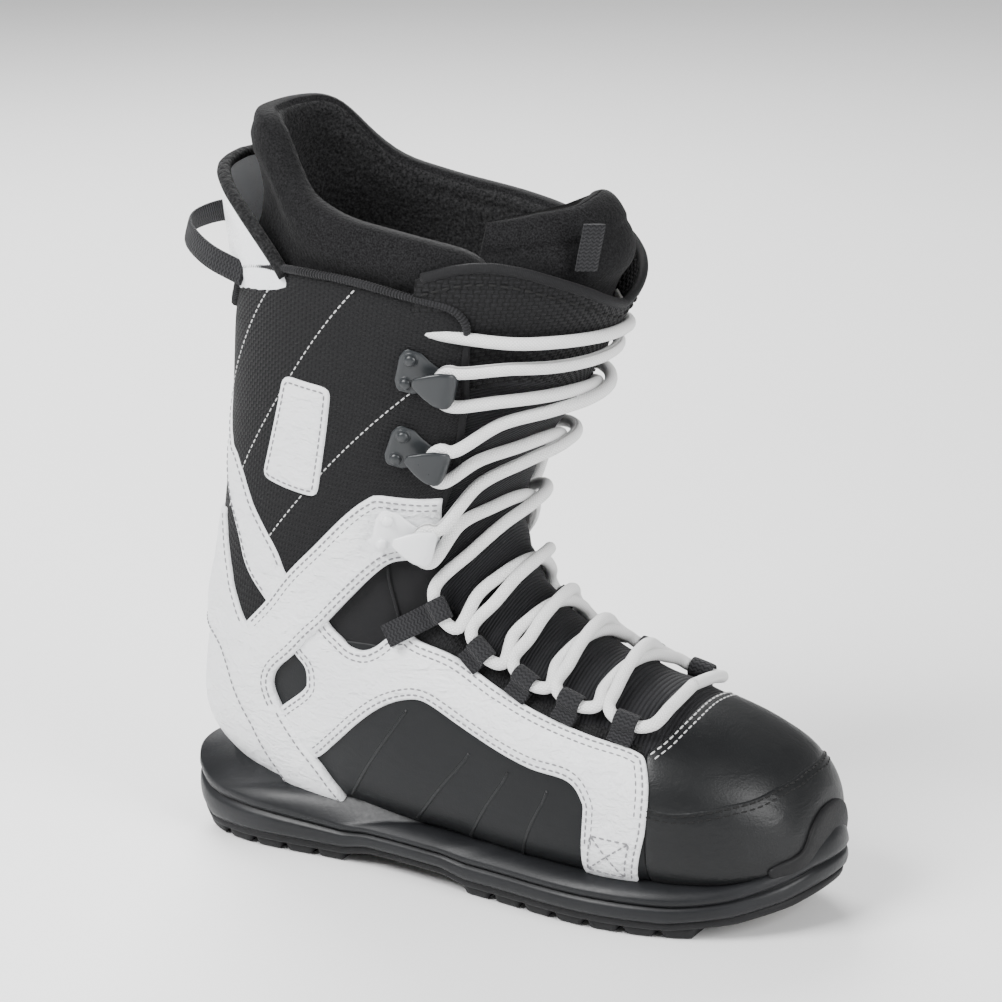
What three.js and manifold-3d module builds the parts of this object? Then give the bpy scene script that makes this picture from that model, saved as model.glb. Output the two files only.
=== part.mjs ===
// Right-foot snowboard boot, laced, at its real size (about US men's 9, 270 mm foot).
// Millimetres. +X is the toe, -Y the outer (lateral) side, +Z up. Z = 0 is the floor under the lugs.
import * as THREE from 'three';
import { mergeVertices } from 'three/addons/utils/BufferGeometryUtils.js';
import Module from 'manifold-3d';

const wasm = await Module();
wasm.setup();

// ---------------------------------------------------------------- driving dimensions
const GAP = 0.4;                       // clearance between neighbouring pieces
const SHELL = 2.5;                     // outer shell fabric and leather
const OVERLAY = 1.5;                   // one sewn-on leather layer
const LINER_OUT = -5.5;                // liner outer face, below the shell's outer face
const LINER_IN = -13;                  // liner inner face
const STIFFENER_OUT = -SHELL - GAP;
const STIFFENER = 1.1;
const AROUND = 20;                     // form facets round the boot
const LINER_AROUND = 16;
const HALF_WIDTH = 95;                 // more than the boot's half width
const PIVOT = { x: -75, z: 112 };      // ankle, where the cuff flexes forward
const FOOT_CUT_DEG = 8;                // the foot's upper edge ahead of the ankle
const FLEX_WEDGE_DEG = 16;             // open wedge ahead of the ankle, range 12 and 4 to spare
const LACE_RADIUS = 2.8;
const LACE_SIDES = 8;
const LOOP_WIDTH = 11;                 // webbing lace loops
const WEB = 1.1;                       // webbing thickness
const OUTSOLE = 4.5;                   // rubber plate above the lugs
const BACK_SEAM_Y = 2;

// The boot's form, station by station from the toe tip round the heel to the top.
// bx bz: sole or back line. fx fz: instep or shin line. wl wm: half widths, lateral and medial.
// yc: centre. m: where the widest point lies. pb pf: roundness at the back and at the front.
const STATIONS = [
  [154, 40, 154, 40, 0, 0, 9, 0.5, 2.3, 2.2],
  [151, 26, 150, 58, 24, 22, 9, 0.48, 2.6, 2.2],
  [141, 20, 138, 74, 38, 35, 8, 0.45, 3.0, 2.2],
  [123, 17, 119, 85, 48, 43, 5, 0.42, 3.2, 2.2],
  [98, 16, 94, 94, 53, 47, 2, 0.4, 3.4, 2.2],
  [66, 16, 63, 104, 54, 48, 0, 0.4, 3.4, 2.1],
  [30, 16, 38, 114, 52, 46, 0, 0.42, 3.2, 2.1],
  [-10, 17, 20, 127, 48, 44, 0, 0.44, 3.0, 2.1],
  [-55, 19, 9, 145, 46, 43, 0, 0.47, 2.8, 2.1],
  [-106, 24, 6, 166, 44, 43, 0, 0.5, 2.6, 2.1],
  [-144, 50, 12, 187, 45, 45, 0, 0.5, 2.4, 2.1],
  [-143, 100, 23, 206, 47, 47, 0, 0.5, 2.3, 2.1],
  [-136, 150, 36, 225, 50, 50, 0, 0.5, 2.3, 2.2],
  [-130, 200, 47, 245, 53, 53, 0, 0.5, 2.3, 2.2],
  [-127, 250, 58, 268, 57, 57, 0, 0.5, 2.3, 2.2],
  [-127, 292, 67, 293, 60, 60, 0, 0.5, 2.3, 2.2],
  [-129, 325, 72, 324, 62, 62, 0, 0.5, 2.3, 2.2],
  [-131, 358, 76, 355, 63, 63, 0, 0.5, 2.3, 2.2],
];
const LAST = STATIONS.length - 1;

// Sole seen from above: outline of the cup, toe tip at +X.
const SOLE_OUTLINE = [
  [-152, 0], [-143, -27], [-112, -41], [-50, -41], [15, -50], [68, -57], [112, -49], [146, -24],
  [159, 8], [150, 33], [115, 48], [68, 51], [5, 38], [-50, 33], [-112, 38], [-143, 26],
];

// ---------------------------------------------------------------- looks of the plain model
const LOOKS = {
  whiteLeather: { color: 0xe6e7e8, roughness: 0.55 },
  blackLeather: { color: 0x2b2c2e, roughness: 0.5 },
  blackMesh: { color: 0x17181a, roughness: 0.9 },
  blackRubber: { color: 0x2a2b2d, roughness: 0.7 },
  midsoleFoam: { color: 0x2f3033, roughness: 0.65 },
  linerFoam: { color: 0x1b1b1d, roughness: 0.95 },
  webbing: { color: 0x1d1e20, roughness: 0.85 },
  whiteLace: { color: 0xf0f0ee, roughness: 0.8 },
  hookMetal: { color: 0x2f3437, roughness: 0.4, metalness: 0.6 },
  whiteHook: { color: 0xeef0f1, roughness: 0.35 },
  board: { color: 0x8a8070, roughness: 0.9 },
  steel: { color: 0x9a9da1, roughness: 0.35, metalness: 1 },
  plastic: { color: 0xd8d8d4, roughness: 0.5 },
  whiteSatin: { color: 0xf2f3f5, roughness: 0.35 },
};

const boot = new THREE.Group();

// ---------------------------------------------------------------- solids
function solidOf(geometry) {
  const bare = geometry.index ? geometry.toNonIndexed() : geometry;
  bare.deleteAttribute('normal');
  bare.deleteAttribute('uv');
  const merged = mergeVertices(bare, 1e-4);
  return new wasm.Manifold(new wasm.Mesh({
    numProp: 3,
    vertProperties: new Float32Array(merged.attributes.position.array),
    triVerts: new Uint32Array(merged.index.array),
  }));
}

function largestPiece(solid) {
  const pieces = solid.decompose();
  return pieces.reduce((best, piece) => (piece.volume() > best.volume() ? piece : best));
}

function addSolid(name, solid, look) {
  const data = largestPiece(solid).getMesh();
  const geometry = new THREE.BufferGeometry();
  geometry.setAttribute('position', new THREE.BufferAttribute(data.vertProperties, 3));
  geometry.setIndex(new THREE.BufferAttribute(data.triVerts, 1));
  geometry.computeVertexNormals();
  const mesh = new THREE.Mesh(geometry, new THREE.MeshStandardMaterial(LOOKS[look]));
  mesh.name = name;
  boot.add(mesh);
}

// A prism through the boot from side to side. The outline is in X and Z, seen from the side.
function sidePrism(outline, yFrom = -HALF_WIDTH, yTo = HALF_WIDTH) {
  const shape = new THREE.Shape(outline.map(([x, z]) => new THREE.Vector2(x, z)));
  const geometry = new THREE.ExtrudeGeometry(shape, { depth: yTo - yFrom, bevelEnabled: false });
  geometry.rotateX(Math.PI / 2);
  geometry.translate(0, yTo, 0);
  return solidOf(geometry);
}

const lateral = (outline) => sidePrism(outline, -HALF_WIDTH, BACK_SEAM_Y - GAP / 2);
const medial = (outline) => sidePrism(outline, BACK_SEAM_Y + GAP / 2, HALF_WIDTH);

// An upright prism. The outline is in X and Y, seen from above.
function planPrism(outline, zFrom, zTo) {
  const shape = new THREE.Shape(outline.map(([x, y]) => new THREE.Vector2(x, y)));
  const geometry = new THREE.ExtrudeGeometry(shape, { depth: zTo - zFrom, bevelEnabled: false });
  geometry.translate(0, 0, zFrom);
  return solidOf(geometry);
}

// Moves each corner of an outline outwards along its bisector.
function grow(outline, distance) {
  const points = outline.map(([x, z]) => new THREE.Vector2(x, z));
  const turn = THREE.ShapeUtils.area(points) > 0 ? 1 : -1;
  return points.map((point, i) => {
    const before = points[(i + points.length - 1) % points.length];
    const after = points[(i + 1) % points.length];
    const along = after.clone().sub(before).normalize();
    return [point.x + turn * along.y * distance, point.y - turn * along.x * distance];
  });
}

function roundOutline(outline, pieces) {
  const points = outline.map(([x, y]) => new THREE.Vector3(x, y, 0));
  const curve = new THREE.CatmullRomCurve3(points, true, 'catmullrom', 0.5);
  return curve.getPoints(pieces).slice(0, pieces).map((point) => [point.x, point.y]);
}

// ---------------------------------------------------------------- the boot's form
function stationAt(t) {
  const first = STATIONS[1].map((value, i) => (i === 4 || i === 5 ? -value : value));
  const last = STATIONS[LAST].map((value, i) => 2 * value - STATIONS[LAST - 1][i]);
  const rows = [first, ...STATIONS, last];
  const i = Math.min(Math.floor(t), LAST - 1);
  const u = t - i;
  return STATIONS[0].map((_, k) => {
    const [a, b, c, d] = [rows[i][k], rows[i + 1][k], rows[i + 2][k], rows[i + 3][k]];
    return 0.5 * (2 * b + (c - a) * u + (2 * a - 5 * b + 4 * c - d) * u * u
      + (3 * b - a - 3 * c + d) * u * u * u);
  });
}

function surfacePoint(t, angle) {
  const [bx, bz, fx, fz, wl, wm, yc, m, pb, pf] = stationAt(t);
  const c = Math.cos(angle);
  const s = Math.sin(angle);
  const k = 0.5 + 0.5 * c;
  const power = pb + (pf - pb) * k * k * (3 - 2 * k);
  const r = (Math.abs(c) ** power + Math.abs(s) ** power) ** (-1 / power);
  const along = (c > 0 ? 1 - m : m) * r * c;
  const across = (s > 0 ? wl : wm) * r * s;
  return new THREE.Vector3(
    bx + (m + along) * (fx - bx),
    yc - across,
    bz + (m + along) * (fz - bz),
  );
}

function outward(t, angle) {
  const step = 1e-3;
  const tLow = Math.max(t - step, 0);
  const tHigh = Math.min(t + step, LAST);
  const alongT = surfacePoint(tHigh, angle).sub(surfacePoint(tLow, angle));
  const alongA = surfacePoint(t, angle + step).sub(surfacePoint(t, angle - step));
  return alongT.cross(alongA).normalize();
}

function formPoint(t, angle, off) {
  return surfacePoint(t, angle).addScaledVector(outward(t, angle), off);
}

// The form grown by off (or shrunk), closed at the toe tip and at the top.
const FINE_RINGS = [
  0.4, 1, 1.5, 2, 3, 4, 5, 6, 7, 7.5, 8, 8.5, 9, 9.5, 10, 10.5, 11, 12, 13, 14, 15, 16, LAST,
];
const LINER_RINGS = [0.6, 1.5, 3, 4.5, 6, 7, 8, 9, 10, 11, 12.5, 14, 15.5, LAST];

function formSolid(off, around = AROUND, rings = FINE_RINGS) {
  const positions = [];
  const toeTip = surfacePoint(0, 0).add(new THREE.Vector3(off, 0, 0));
  const ringPoint = (i, j) => formPoint(rings[i], (2 * Math.PI * (j % around)) / around, off);
  const triangle = (...corners) => corners.forEach((corner) => positions.push(...corner.toArray()));
  const top = new THREE.Vector3();
  for (let j = 0; j < around; j += 1) {
    top.addScaledVector(ringPoint(rings.length - 1, j), 1 / around);
  }
  for (let j = 0; j < around; j += 1) {
    triangle(toeTip, ringPoint(0, j), ringPoint(0, j + 1));
    triangle(top, ringPoint(rings.length - 1, j + 1), ringPoint(rings.length - 1, j));
    for (let i = 0; i + 1 < rings.length; i += 1) {
      triangle(ringPoint(i, j), ringPoint(i + 1, j), ringPoint(i + 1, j + 1));
      triangle(ringPoint(i, j), ringPoint(i + 1, j + 1), ringPoint(i, j + 1));
    }
  }
  const geometry = new THREE.BufferGeometry();
  geometry.setAttribute('position', new THREE.Float32BufferAttribute(positions, 3));
  return solidOf(geometry);
}

const layer = (outer, inner, ...grid) => formSolid(outer, ...grid).subtract(formSolid(inner, ...grid));
const shellLayer = layer(0, -SHELL);
const firstOverlay = layer(GAP + OVERLAY, GAP);
const secondOverlay = layer(2 * (GAP + OVERLAY), 2 * GAP + OVERLAY);
const stiffenerLayer = layer(STIFFENER_OUT, STIFFENER_OUT - STIFFENER);
const linerLayer = layer(LINER_OUT, LINER_IN, LINER_AROUND, LINER_RINGS);

// ---------------------------------------------------------------- lines seen from the side
const FAR = 260;
const rise = (degrees) => Math.tan(THREE.MathUtils.degToRad(degrees)) * FAR;

// Below this line everything belongs to the foot.
const FOOT_REGION = [
  [-FAR, PIVOT.z], [PIVOT.x, PIVOT.z], [PIVOT.x + FAR, PIVOT.z + rise(FOOT_CUT_DEG)],
  [PIVOT.x + FAR, -20], [-FAR, -20],
];
// Above this one everything belongs to the cuff.
const CUFF_REGION = [
  [-FAR, PIVOT.z + GAP], [PIVOT.x, PIVOT.z + GAP],
  [PIVOT.x + FAR, PIVOT.z + GAP + rise(FOOT_CUT_DEG + FLEX_WEDGE_DEG)],
  [PIVOT.x + FAR, 400], [-FAR, 400],
];
// The soft wedge between them, ahead of the ankle.
const FLEX_REGION = [
  [PIVOT.x + 4, PIVOT.z + 1.3],
  [PIVOT.x + FAR, PIVOT.z + GAP + rise(FOOT_CUT_DEG)],
  [PIVOT.x + FAR, PIVOT.z + rise(FOOT_CUT_DEG + FLEX_WEDGE_DEG)],
];
// Ahead of the throat line lies the tongue. It ends at the vamp seam.
const THROAT = [
  [14, 310], [9, 254], [3, 217], [-4, 195], [-11, 179], [-14, 150], [-19, 118], [0, 109],
  [20, 99], [40, 92], [66, 85], [92, 80],
];
const TONGUE_REGION = [...THROAT, [97, 97], [150, 200], [150, 310]];
const BEHIND_THROAT = [
  ...grow(TONGUE_REGION, GAP).slice(0, THROAT.length), [92, -20], [-220, -20], [-220, 310],
];
const VAMP_REGION = [
  [94, 61], [93, 80], [98, 97], [98, 140], [220, 140], [220, 74], [144, 67], [136, 64], [124, 61],
  [108, 59.6],
];
const RAND_REGION = [
  [93, 60.4], [108, 59], [124, 60.4], [136, 63.4], [144, 66.4], [220, 73.4], [220, -20], [93, -20],
];
// The upper turns under the foot below this line, where the lasting board closes it.
const BOARD_LINE = [
  [-170, 52], [-138, 40], [-122, 30], [-106, 27.5], [-55, 22.5], [30, 19.5], [98, 19.5],
  [122, 21], [140, 25], [152, 34], [170, 40],
];
const ABOVE_BOARD = [...BOARD_LINE, [200, 420], [-200, 420]];
const BELOW_BOARD = [...BOARD_LINE.map(([x, z]) => [x, z - GAP]), [170, -20], [-170, -20]];
// The harness leg, from the sole up to the ankle.
const LEG_FRONT = [[-56, 18], [-62, 30], [-66, 37], [-74, 49], [-90, 72], [-93, 83], [-91, 90]];
const LEG_REAR = [[-90, 18], [-97, 34], [-104, 48], [-111, 63], [-119, 81], [-128, 93], [-160, 100]];
const AHEAD_OF_LEG = [...LEG_FRONT, [PIVOT.x, PIVOT.z + 20], [120, 200], [120, -20]];

const soleRim = (x) => 26.5
  + 10 * THREE.MathUtils.clamp((-60 - x) / 60, 0, 1)
  + 9 * THREE.MathUtils.clamp((-125 - x) / 25, 0, 1)
  + 14 * THREE.MathUtils.clamp((x - 110) / 45, 0, 1) ** 2;
const RIM_XS = [-170, -150, -137, -125, -100, -80, -60, 0, 110, 125, 140, 150, 170];
const ABOVE_RIM = [...RIM_XS.map((x) => [x, soleRim(x) + GAP]), [200, 420], [-200, 420]];

const uppers = shellLayer.intersect(sidePrism(ABOVE_BOARD));
const overlays = firstOverlay.intersect(sidePrism(ABOVE_RIM));
const outerOverlays = secondOverlay.intersect(sidePrism(ABOVE_RIM));
const cutOut = (solid, ...outlines) => outlines.reduce(
  (result, outline) => result.intersect(sidePrism(outline)), solid);

// ---------------------------------------------------------------- sole
// Underside of the rubber plate, heel to toe: arch raised, toe sprung.
const PLATE_LINE = [
  [-153, 15], [-146, 9], [-135, 4], [-62, 4], [-50, 6.5], [-8, 6.5], [4, 4], [105, 4], [130, 7],
  [148, 12], [161, 18],
];
const LUG_INSET = -5;
const HEEL_LUGS = { from: -139, count: 5, length: 11.5, pitch: 16 };
const FOREFOOT_LUGS = { from: 4, count: 7, length: 11.5, pitch: 16.4 };
const CENTRE_GROOVE = 8;
const soleOutline = roundOutline(SOLE_OUTLINE, 40);

function lugRow({ from, count, length, pitch }) {
  const lugs = [];
  for (let i = 0; i < count; i += 1) {
    const x = from + i * pitch;
    const block = [[x, 0], [x + length, 0], [x + length + 1.5, OUTSOLE], [x - 1.5, OUTSOLE]];
    lugs.push(sidePrism(block, -HALF_WIDTH, -CENTRE_GROOVE / 2));
    lugs.push(sidePrism(block, CENTRE_GROOVE / 2, HALF_WIDTH));
  }
  return lugs;
}

function outsole() {
  const band = [...PLATE_LINE, ...PLATE_LINE.map(([x, z]) => [x, z + OUTSOLE]).reverse()];
  const plate = sidePrism(band).intersect(planPrism(grow(soleOutline, -1.5), -5, 60));
  const lugArea = planPrism(grow(soleOutline, LUG_INSET), -1, 60);
  const lugs = [...lugRow(HEEL_LUGS), ...lugRow(FOREFOOT_LUGS)].map((lug) => lug.intersect(lugArea));
  return lugs.reduce((sole, lug) => sole.add(lug), plate);
}

const SHANK = { from: -95, to: 20, width: 20, thickness: 1.4 };
const shankBox = (extra, slot = 0) => {
  const box = new THREE.BoxGeometry(
    SHANK.to - SHANK.from + 2 * extra,
    SHANK.width + 2 * extra,
    SHANK.thickness + 2 * extra + slot,
  );
  box.translate(0, 0, slot / 2);
  box.rotateY(THREE.MathUtils.degToRad(2.3));
  box.translate((SHANK.from + SHANK.to) / 2, -2, 15.2);
  return solidOf(box);
};

function midsole() {
  const bottom = PLATE_LINE.map(([x, z]) => [x, z + OUTSOLE + GAP]);
  const rim = RIM_XS.slice(1, -1).map((x) => [x, soleRim(x)]);
  const band = [
    ...bottom, [170, 30], [170, soleRim(170)], ...rim.reverse(), [-170, soleRim(-170)], [-170, 20],
  ];
  return sidePrism(band)
    .intersect(planPrism(soleOutline, 0, 80))
    .subtract(formSolid(GAP))
    .subtract(shankBox(GAP, 8));
}

addSolid('outsole', outsole(), 'blackRubber');
addSolid('midsole', midsole(), 'midsoleFoam');
addSolid('shank', shankBox(0).subtract(formSolid(GAP)), 'steel');
addSolid('lasting_board', shellLayer.intersect(sidePrism(BELOW_BOARD)), 'board');

// ---------------------------------------------------------------- foot of the shell
const footUppers = uppers.intersect(sidePrism(FOOT_REGION));
addSolid('vamp', cutOut(uppers, VAMP_REGION), 'blackLeather');
addSolid('toe_rand', cutOut(uppers, RAND_REGION), 'blackLeather');
addSolid('tongue_lower', cutOut(footUppers, grow(TONGUE_REGION, -GAP)), 'blackMesh');

const sideFoot = cutOut(footUppers, BEHIND_THROAT, grow(AHEAD_OF_LEG, -GAP));
const wholeSide = [[-220, -20], [220, -20], [220, 400], [-220, 400]];
addSolid('side_panel_lateral', sideFoot.intersect(lateral(wholeSide)), 'blackLeather');
addSolid('side_panel_medial', sideFoot.intersect(medial(wholeSide)), 'blackLeather');
addSolid('heel_shell', footUppers.subtract(sidePrism(AHEAD_OF_LEG)).intersect(
  sidePrism([[-220, -20], [0, -20], [0, PIVOT.z], [-220, PIVOT.z]])), 'blackMesh');

const TOE_BUMPER = [[128, 20], [131, 41], [142, 50], [151, 56], [190, 60], [190, 20]];
addSolid('toe_bumper', cutOut(overlays, TOE_BUMPER), 'blackRubber');

const DIAMOND = [[-82, 98], [-77, 93], [-76, 87], [-79, 81], [-90, 72], [-93, 83], [-91, 90]];
const QUARTER = [
  [-65, 111], [-58, 110], [-52, 106], [-46, 106], [-40, 109], [-35, 114], [-28, 115.5], [-19, 114],
  [0, 108], [20, 98], [40, 91], [66, 84], [84, 81], [91, 77], [92, 57], [91, 20], [62, 20],
  [66, 50], [66, 59], [58, 67], [38, 69], [7, 79], [-14, 87], [-26, 86], [-38, 80], [-50, 70],
  [-63, 59], [-74, 49], [-90, 72], [-93, 83], [-91, 90], [-82, 98], [-76, 108], [-72, 111],
];
const quarters = cutOut(overlays, QUARTER, FOOT_REGION).subtract(sidePrism(DIAMOND));
addSolid('quarter_lateral', quarters.intersect(lateral(wholeSide)), 'whiteLeather');
addSolid('quarter_medial', quarters.intersect(medial(wholeSide)), 'whiteLeather');

const HEEL_COUNTER = [...LEG_REAR.slice(0, -1), [-132, 104], [-170, 108], [-170, 18]];
addSolid('heel_counter', cutOut(overlays, HEEL_COUNTER), 'whiteLeather');

// ---------------------------------------------------------------- harness straps
const HARNESS = [
  [-170, 152], [-126, 150], [-119, 134], [-116, 124], [-113, 114], [-108, 108], [-96, 121],
  [-84, 136], [-69, 152], [-52, 169], [-43, 177], [-36, 179], [-11, 179], [-12, 171], [-14, 150],
  [-28, 149], [-33, 148], [-39, 143], [-54, 128], [-65, 116], [-71, 109], [-82, 98], [-91, 90],
  [-93, 83], [-90, 72], [-74, 49], [-66, 37], [-62, 30], [-58, 20], ...LEG_REAR,
];
const harness = outerOverlays.intersect(sidePrism(HARNESS));
addSolid('harness_lower', cutOut(harness, FOOT_REGION), 'whiteLeather');
const cuffHarness = harness.intersect(sidePrism(CUFF_REGION));
const AHEAD_OF_SPUR = [[-107, 0], [60, 0], [60, 300], [-107, 300]];
addSolid('harness_strap_lateral', cuffHarness.intersect(lateral(AHEAD_OF_SPUR)), 'whiteLeather');
addSolid('harness_strap_medial', cuffHarness.intersect(medial(AHEAD_OF_SPUR)), 'whiteLeather');
addSolid('harness_spur', cuffHarness.subtract(sidePrism(AHEAD_OF_SPUR)), 'whiteLeather');

const REAR_STRAP = [
  [-170, 224], [-140, 214], [-118, 188], [-109, 176], [-103, 164], [-96, 155], [-89, 145],
  [-84, 136], [-97, 121], [-103, 127], [-109, 136], [-115, 151], [-125, 172], [-140, 190],
  [-170, 198],
];
addSolid('rear_strap', cutOut(overlays, REAR_STRAP), 'whiteLeather');

// ---------------------------------------------------------------- cuff
const CUFF_TOP = [
  [-170, 262], [-118, 262], [-107, 268], [-93, 273], [-70, 275], [-42, 274], [-14, 271], [2, 267],
];
const BELOW_CUFF_TOP = [...CUFF_TOP, [20, 262], [20, 0], [-200, 0]];
const cuffShell = cutOut(uppers, CUFF_REGION, BEHIND_THROAT);
const cuffSides = cuffShell.intersect(sidePrism(BELOW_CUFF_TOP));
addSolid('cuff_lateral', cuffSides.intersect(lateral(wholeSide)), 'blackMesh');
addSolid('cuff_medial', cuffSides.intersect(medial(wholeSide)), 'blackMesh');

const BINDING = 3.5;
const bindingBand = [
  ...CUFF_TOP.slice(2).map(([x, z]) => [x, z + GAP]),
  ...CUFF_TOP.slice(2).map(([x, z]) => [x, z + GAP + BINDING]).reverse(),
];
addSolid('cuff_binding_lateral', shellLayer.intersect(lateral(bindingBand)), 'webbing');
addSolid('cuff_binding_medial', shellLayer.intersect(medial(bindingBand)), 'webbing');

const BACK_COLLAR = [
  [-170, 262.5], [-118, 262.5], [-108, 268], [-112, 290], [-118, 306], [-126, 312], [-170, 312],
];
addSolid('back_collar', cutOut(shellLayer, BACK_COLLAR), 'whiteSatin');
const TONGUE_TOP = [
  [-40, 255], [-8, 281], [14, 288], [26, 284], [40, 277], [52, 270], [62, 266], [120, 262],
  [120, 100], [-40, 100],
];
addSolid('tongue_upper',
  cutOut(uppers, CUFF_REGION, grow(TONGUE_REGION, -GAP), TONGUE_TOP), 'blackMesh');

const BADGE = [
  [-82, 226], [-79, 229], [-59, 228], [-56, 225], [-64, 177], [-68, 173], [-93, 177], [-96, 181],
];
addSolid('badge', overlays.intersect(lateral(BADGE)), 'whiteLeather');

// ---------------------------------------------------------------- soft pieces over the flex line
const flexShell = uppers.intersect(sidePrism(FLEX_REGION));
const gusset = flexShell.intersect(sidePrism(BEHIND_THROAT));
addSolid('ankle_gusset_lateral', gusset.intersect(lateral(wholeSide)), 'blackMesh');
addSolid('ankle_gusset_medial', gusset.intersect(medial(wholeSide)), 'blackMesh');
addSolid('tongue_flex', cutOut(flexShell, grow(TONGUE_REGION, -GAP)), 'blackMesh');
addSolid('liner_flex', linerLayer.intersect(sidePrism(FLEX_REGION)), 'linerFoam');

// ---------------------------------------------------------------- liner and inner pieces
const LINER_TOP = [
  [-170, 344], [-120, 345], [-102, 338], [-90, 318], [-76, 301], [-50, 289], [-20, 284], [120, 279],
];
const BELOW_LINER_TOP = [...LINER_TOP, [120, 0], [-170, 0]];
const LINER_FRONT = [[26, 400], [26, 0], [-170, 0], [-170, 400]];
addSolid('liner_foot', linerLayer.intersect(sidePrism(FOOT_REGION)), 'linerFoam');
const linerUpper = linerLayer.intersect(sidePrism(CUFF_REGION));
addSolid('liner_cuff', cutOut(linerUpper, BELOW_LINER_TOP, LINER_FRONT), 'linerFoam');
const LINER_TONGUE = [[26 + GAP, 120], [26 + GAP, 300], [36, 305], [100, 302], [100, 120]];
// The tongue's padded top leans back over the shin.
const TONGUE_PAD = [
  [30, 290], [58, 290], [53, 301], [45, 313], [36, 320], [26, 323], [17, 320], [14, 312], [19, 302],
];
const TONGUE_PAD_HALF = 36;
const tonguePad = formSolid(LINER_OUT, LINER_AROUND, LINER_RINGS)
  .intersect(sidePrism(TONGUE_PAD, -TONGUE_PAD_HALF, TONGUE_PAD_HALF));
addSolid('liner_tongue', cutOut(linerUpper, LINER_TONGUE).add(tonguePad), 'linerFoam');

const footbedTop = BOARD_LINE.map(([x, z]) => [x, z + 13]);
addSolid('footbed', formSolid(LINER_IN - 1.3, LINER_AROUND, LINER_RINGS)
  .intersect(sidePrism([...footbedTop, [170, -20], [-170, -20]])), 'linerFoam');
const TOE_CAP = [[112, 24], [108, 75], [108, 100], [190, 100], [190, 34]];
const HEEL_CUP = [[-82, 26], [-98, 60], [-108, 92], [-170, 96], [-170, 56], [-138, 40]];
const SHIN_PLATE = [[24, 190], [38, 262], [90, 262], [90, 180]];
addSolid('toe_stiffener', cutOut(stiffenerLayer, TOE_CAP), 'plastic');
addSolid('heel_stiffener', cutOut(stiffenerLayer, HEEL_CUP), 'plastic');
addSolid('tongue_stiffener', cutOut(stiffenerLayer, SHIN_PLATE), 'plastic');

// ---------------------------------------------------------------- placing small pieces on the form
// A frame on the surface: x to the throat, y up the boot, z outwards. side is -1 lateral, 1 medial.
function surfaceFrame(t, angle, off, side) {
  const around = side < 0 ? angle : 2 * Math.PI - angle;
  const normal = outward(t, around);
  const up = surfacePoint(t + 0.02, around).sub(surfacePoint(t - 0.02, around));
  up.addScaledVector(normal, -up.dot(normal)).normalize();
  const throat = up.clone().cross(normal).multiplyScalar(side < 0 ? 1 : -1);
  const frame = new THREE.Matrix4();
  frame.makeBasis(throat, up, normal);
  frame.setPosition(formPoint(t, around, off));
  return frame;
}

function placed(geometry, frame) {
  const copy = geometry.index ? geometry.toNonIndexed() : geometry.clone();
  copy.applyMatrix4(frame);
  if (frame.determinant() < 0) {
    const p = copy.attributes.position.array;
    for (let i = 0; i < p.length; i += 9) {
      for (let k = 0; k < 3; k += 1) {
        [p[i + 3 + k], p[i + 6 + k]] = [p[i + 6 + k], p[i + 3 + k]];
      }
    }
  }
  return solidOf(copy);
}

// Lace hook: riveted plate, a wall at its throat end and a beak folded back over the lace.
const HOOK = { plate: 1.6, height: 8.4, top: 1.6 };
const HOOK_PLACES = [
  { t: 10.3, angle: 1.03, off: 2 * (GAP + OVERLAY) + 2 * GAP },
  { t: 11.85, angle: 1.12, off: GAP },
  { t: 13.15, angle: 1.18, off: GAP },
];

function flatPlate(outline, from, to) {
  const shape = new THREE.Shape(outline.map(([x, y]) => new THREE.Vector2(x, y)));
  const geometry = new THREE.ExtrudeGeometry(shape, { depth: to - from, bevelEnabled: false });
  geometry.translate(0, 0, from);
  return geometry;
}

function hook(frame) {
  const plate = flatPlate([[-18, -8], [-16, -10], [-10, -10], [-3, -5], [9, -5], [9, 5], [-3, 5],
    [-10, 10], [-16, 10], [-18, 8]], 0, HOOK.plate);
  const wall = flatPlate([[7.4, -5], [9, -5], [9, 5], [7.4, 5]], 0, HOOK.height + HOOK.top);
  const beak = flatPlate([[9, -8], [9, 8], [2, 7], [-8, 1], [-8, -1], [2, -7]], HOOK.height,
    HOOK.height + HOOK.top);
  const pieces = [plate, wall, beak];
  for (const y of [-5.8, 5.8]) {
    const rivet = new THREE.LatheGeometry([[0, -0.2], [3, -0.2], [3, 0.7], [2, 1.6], [0, 2]]
      .map(([r, z]) => new THREE.Vector2(r, z)), 8);
    rivet.rotateX(Math.PI / 2);
    rivet.translate(-12.6, y, HOOK.plate);
    pieces.push(rivet);
  }
  return pieces.map((piece) => placed(piece, frame)).reduce((whole, piece) => whole.add(piece));
}

const SIDES = { lateral: -1, medial: 1 };
for (const [sideName, side] of Object.entries(SIDES)) {
  HOOK_PLACES.forEach(({ t, angle, off }, i) => {
    addSolid(`hook_${sideName}_${i + 1}`, hook(surfaceFrame(t, angle, off, side)),
      i === 0 ? 'whiteHook' : 'hookMetal');
  });
}

// ---------------------------------------------------------------- webbing loops for the lace
const LOOP_HOLE = LACE_RADIUS + 1;
const LOOP_OUTER = LOOP_HOLE + WEB;
const LACE_HEIGHT = GAP + LOOP_OUTER;  // lace centre above the surface inside a loop
const LOOP_PLACES = [
  { t: 4.52, angle: 0.72 }, { t: 5.37, angle: 0.75 }, { t: 6.25, angle: 0.79 },
  { t: 7.32, angle: 0.86 },
];
const LOOP_TAIL = 6;
const ANKLE_LOOP = { t: 8.5, angle: 0.94, tail: 26 };

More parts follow.
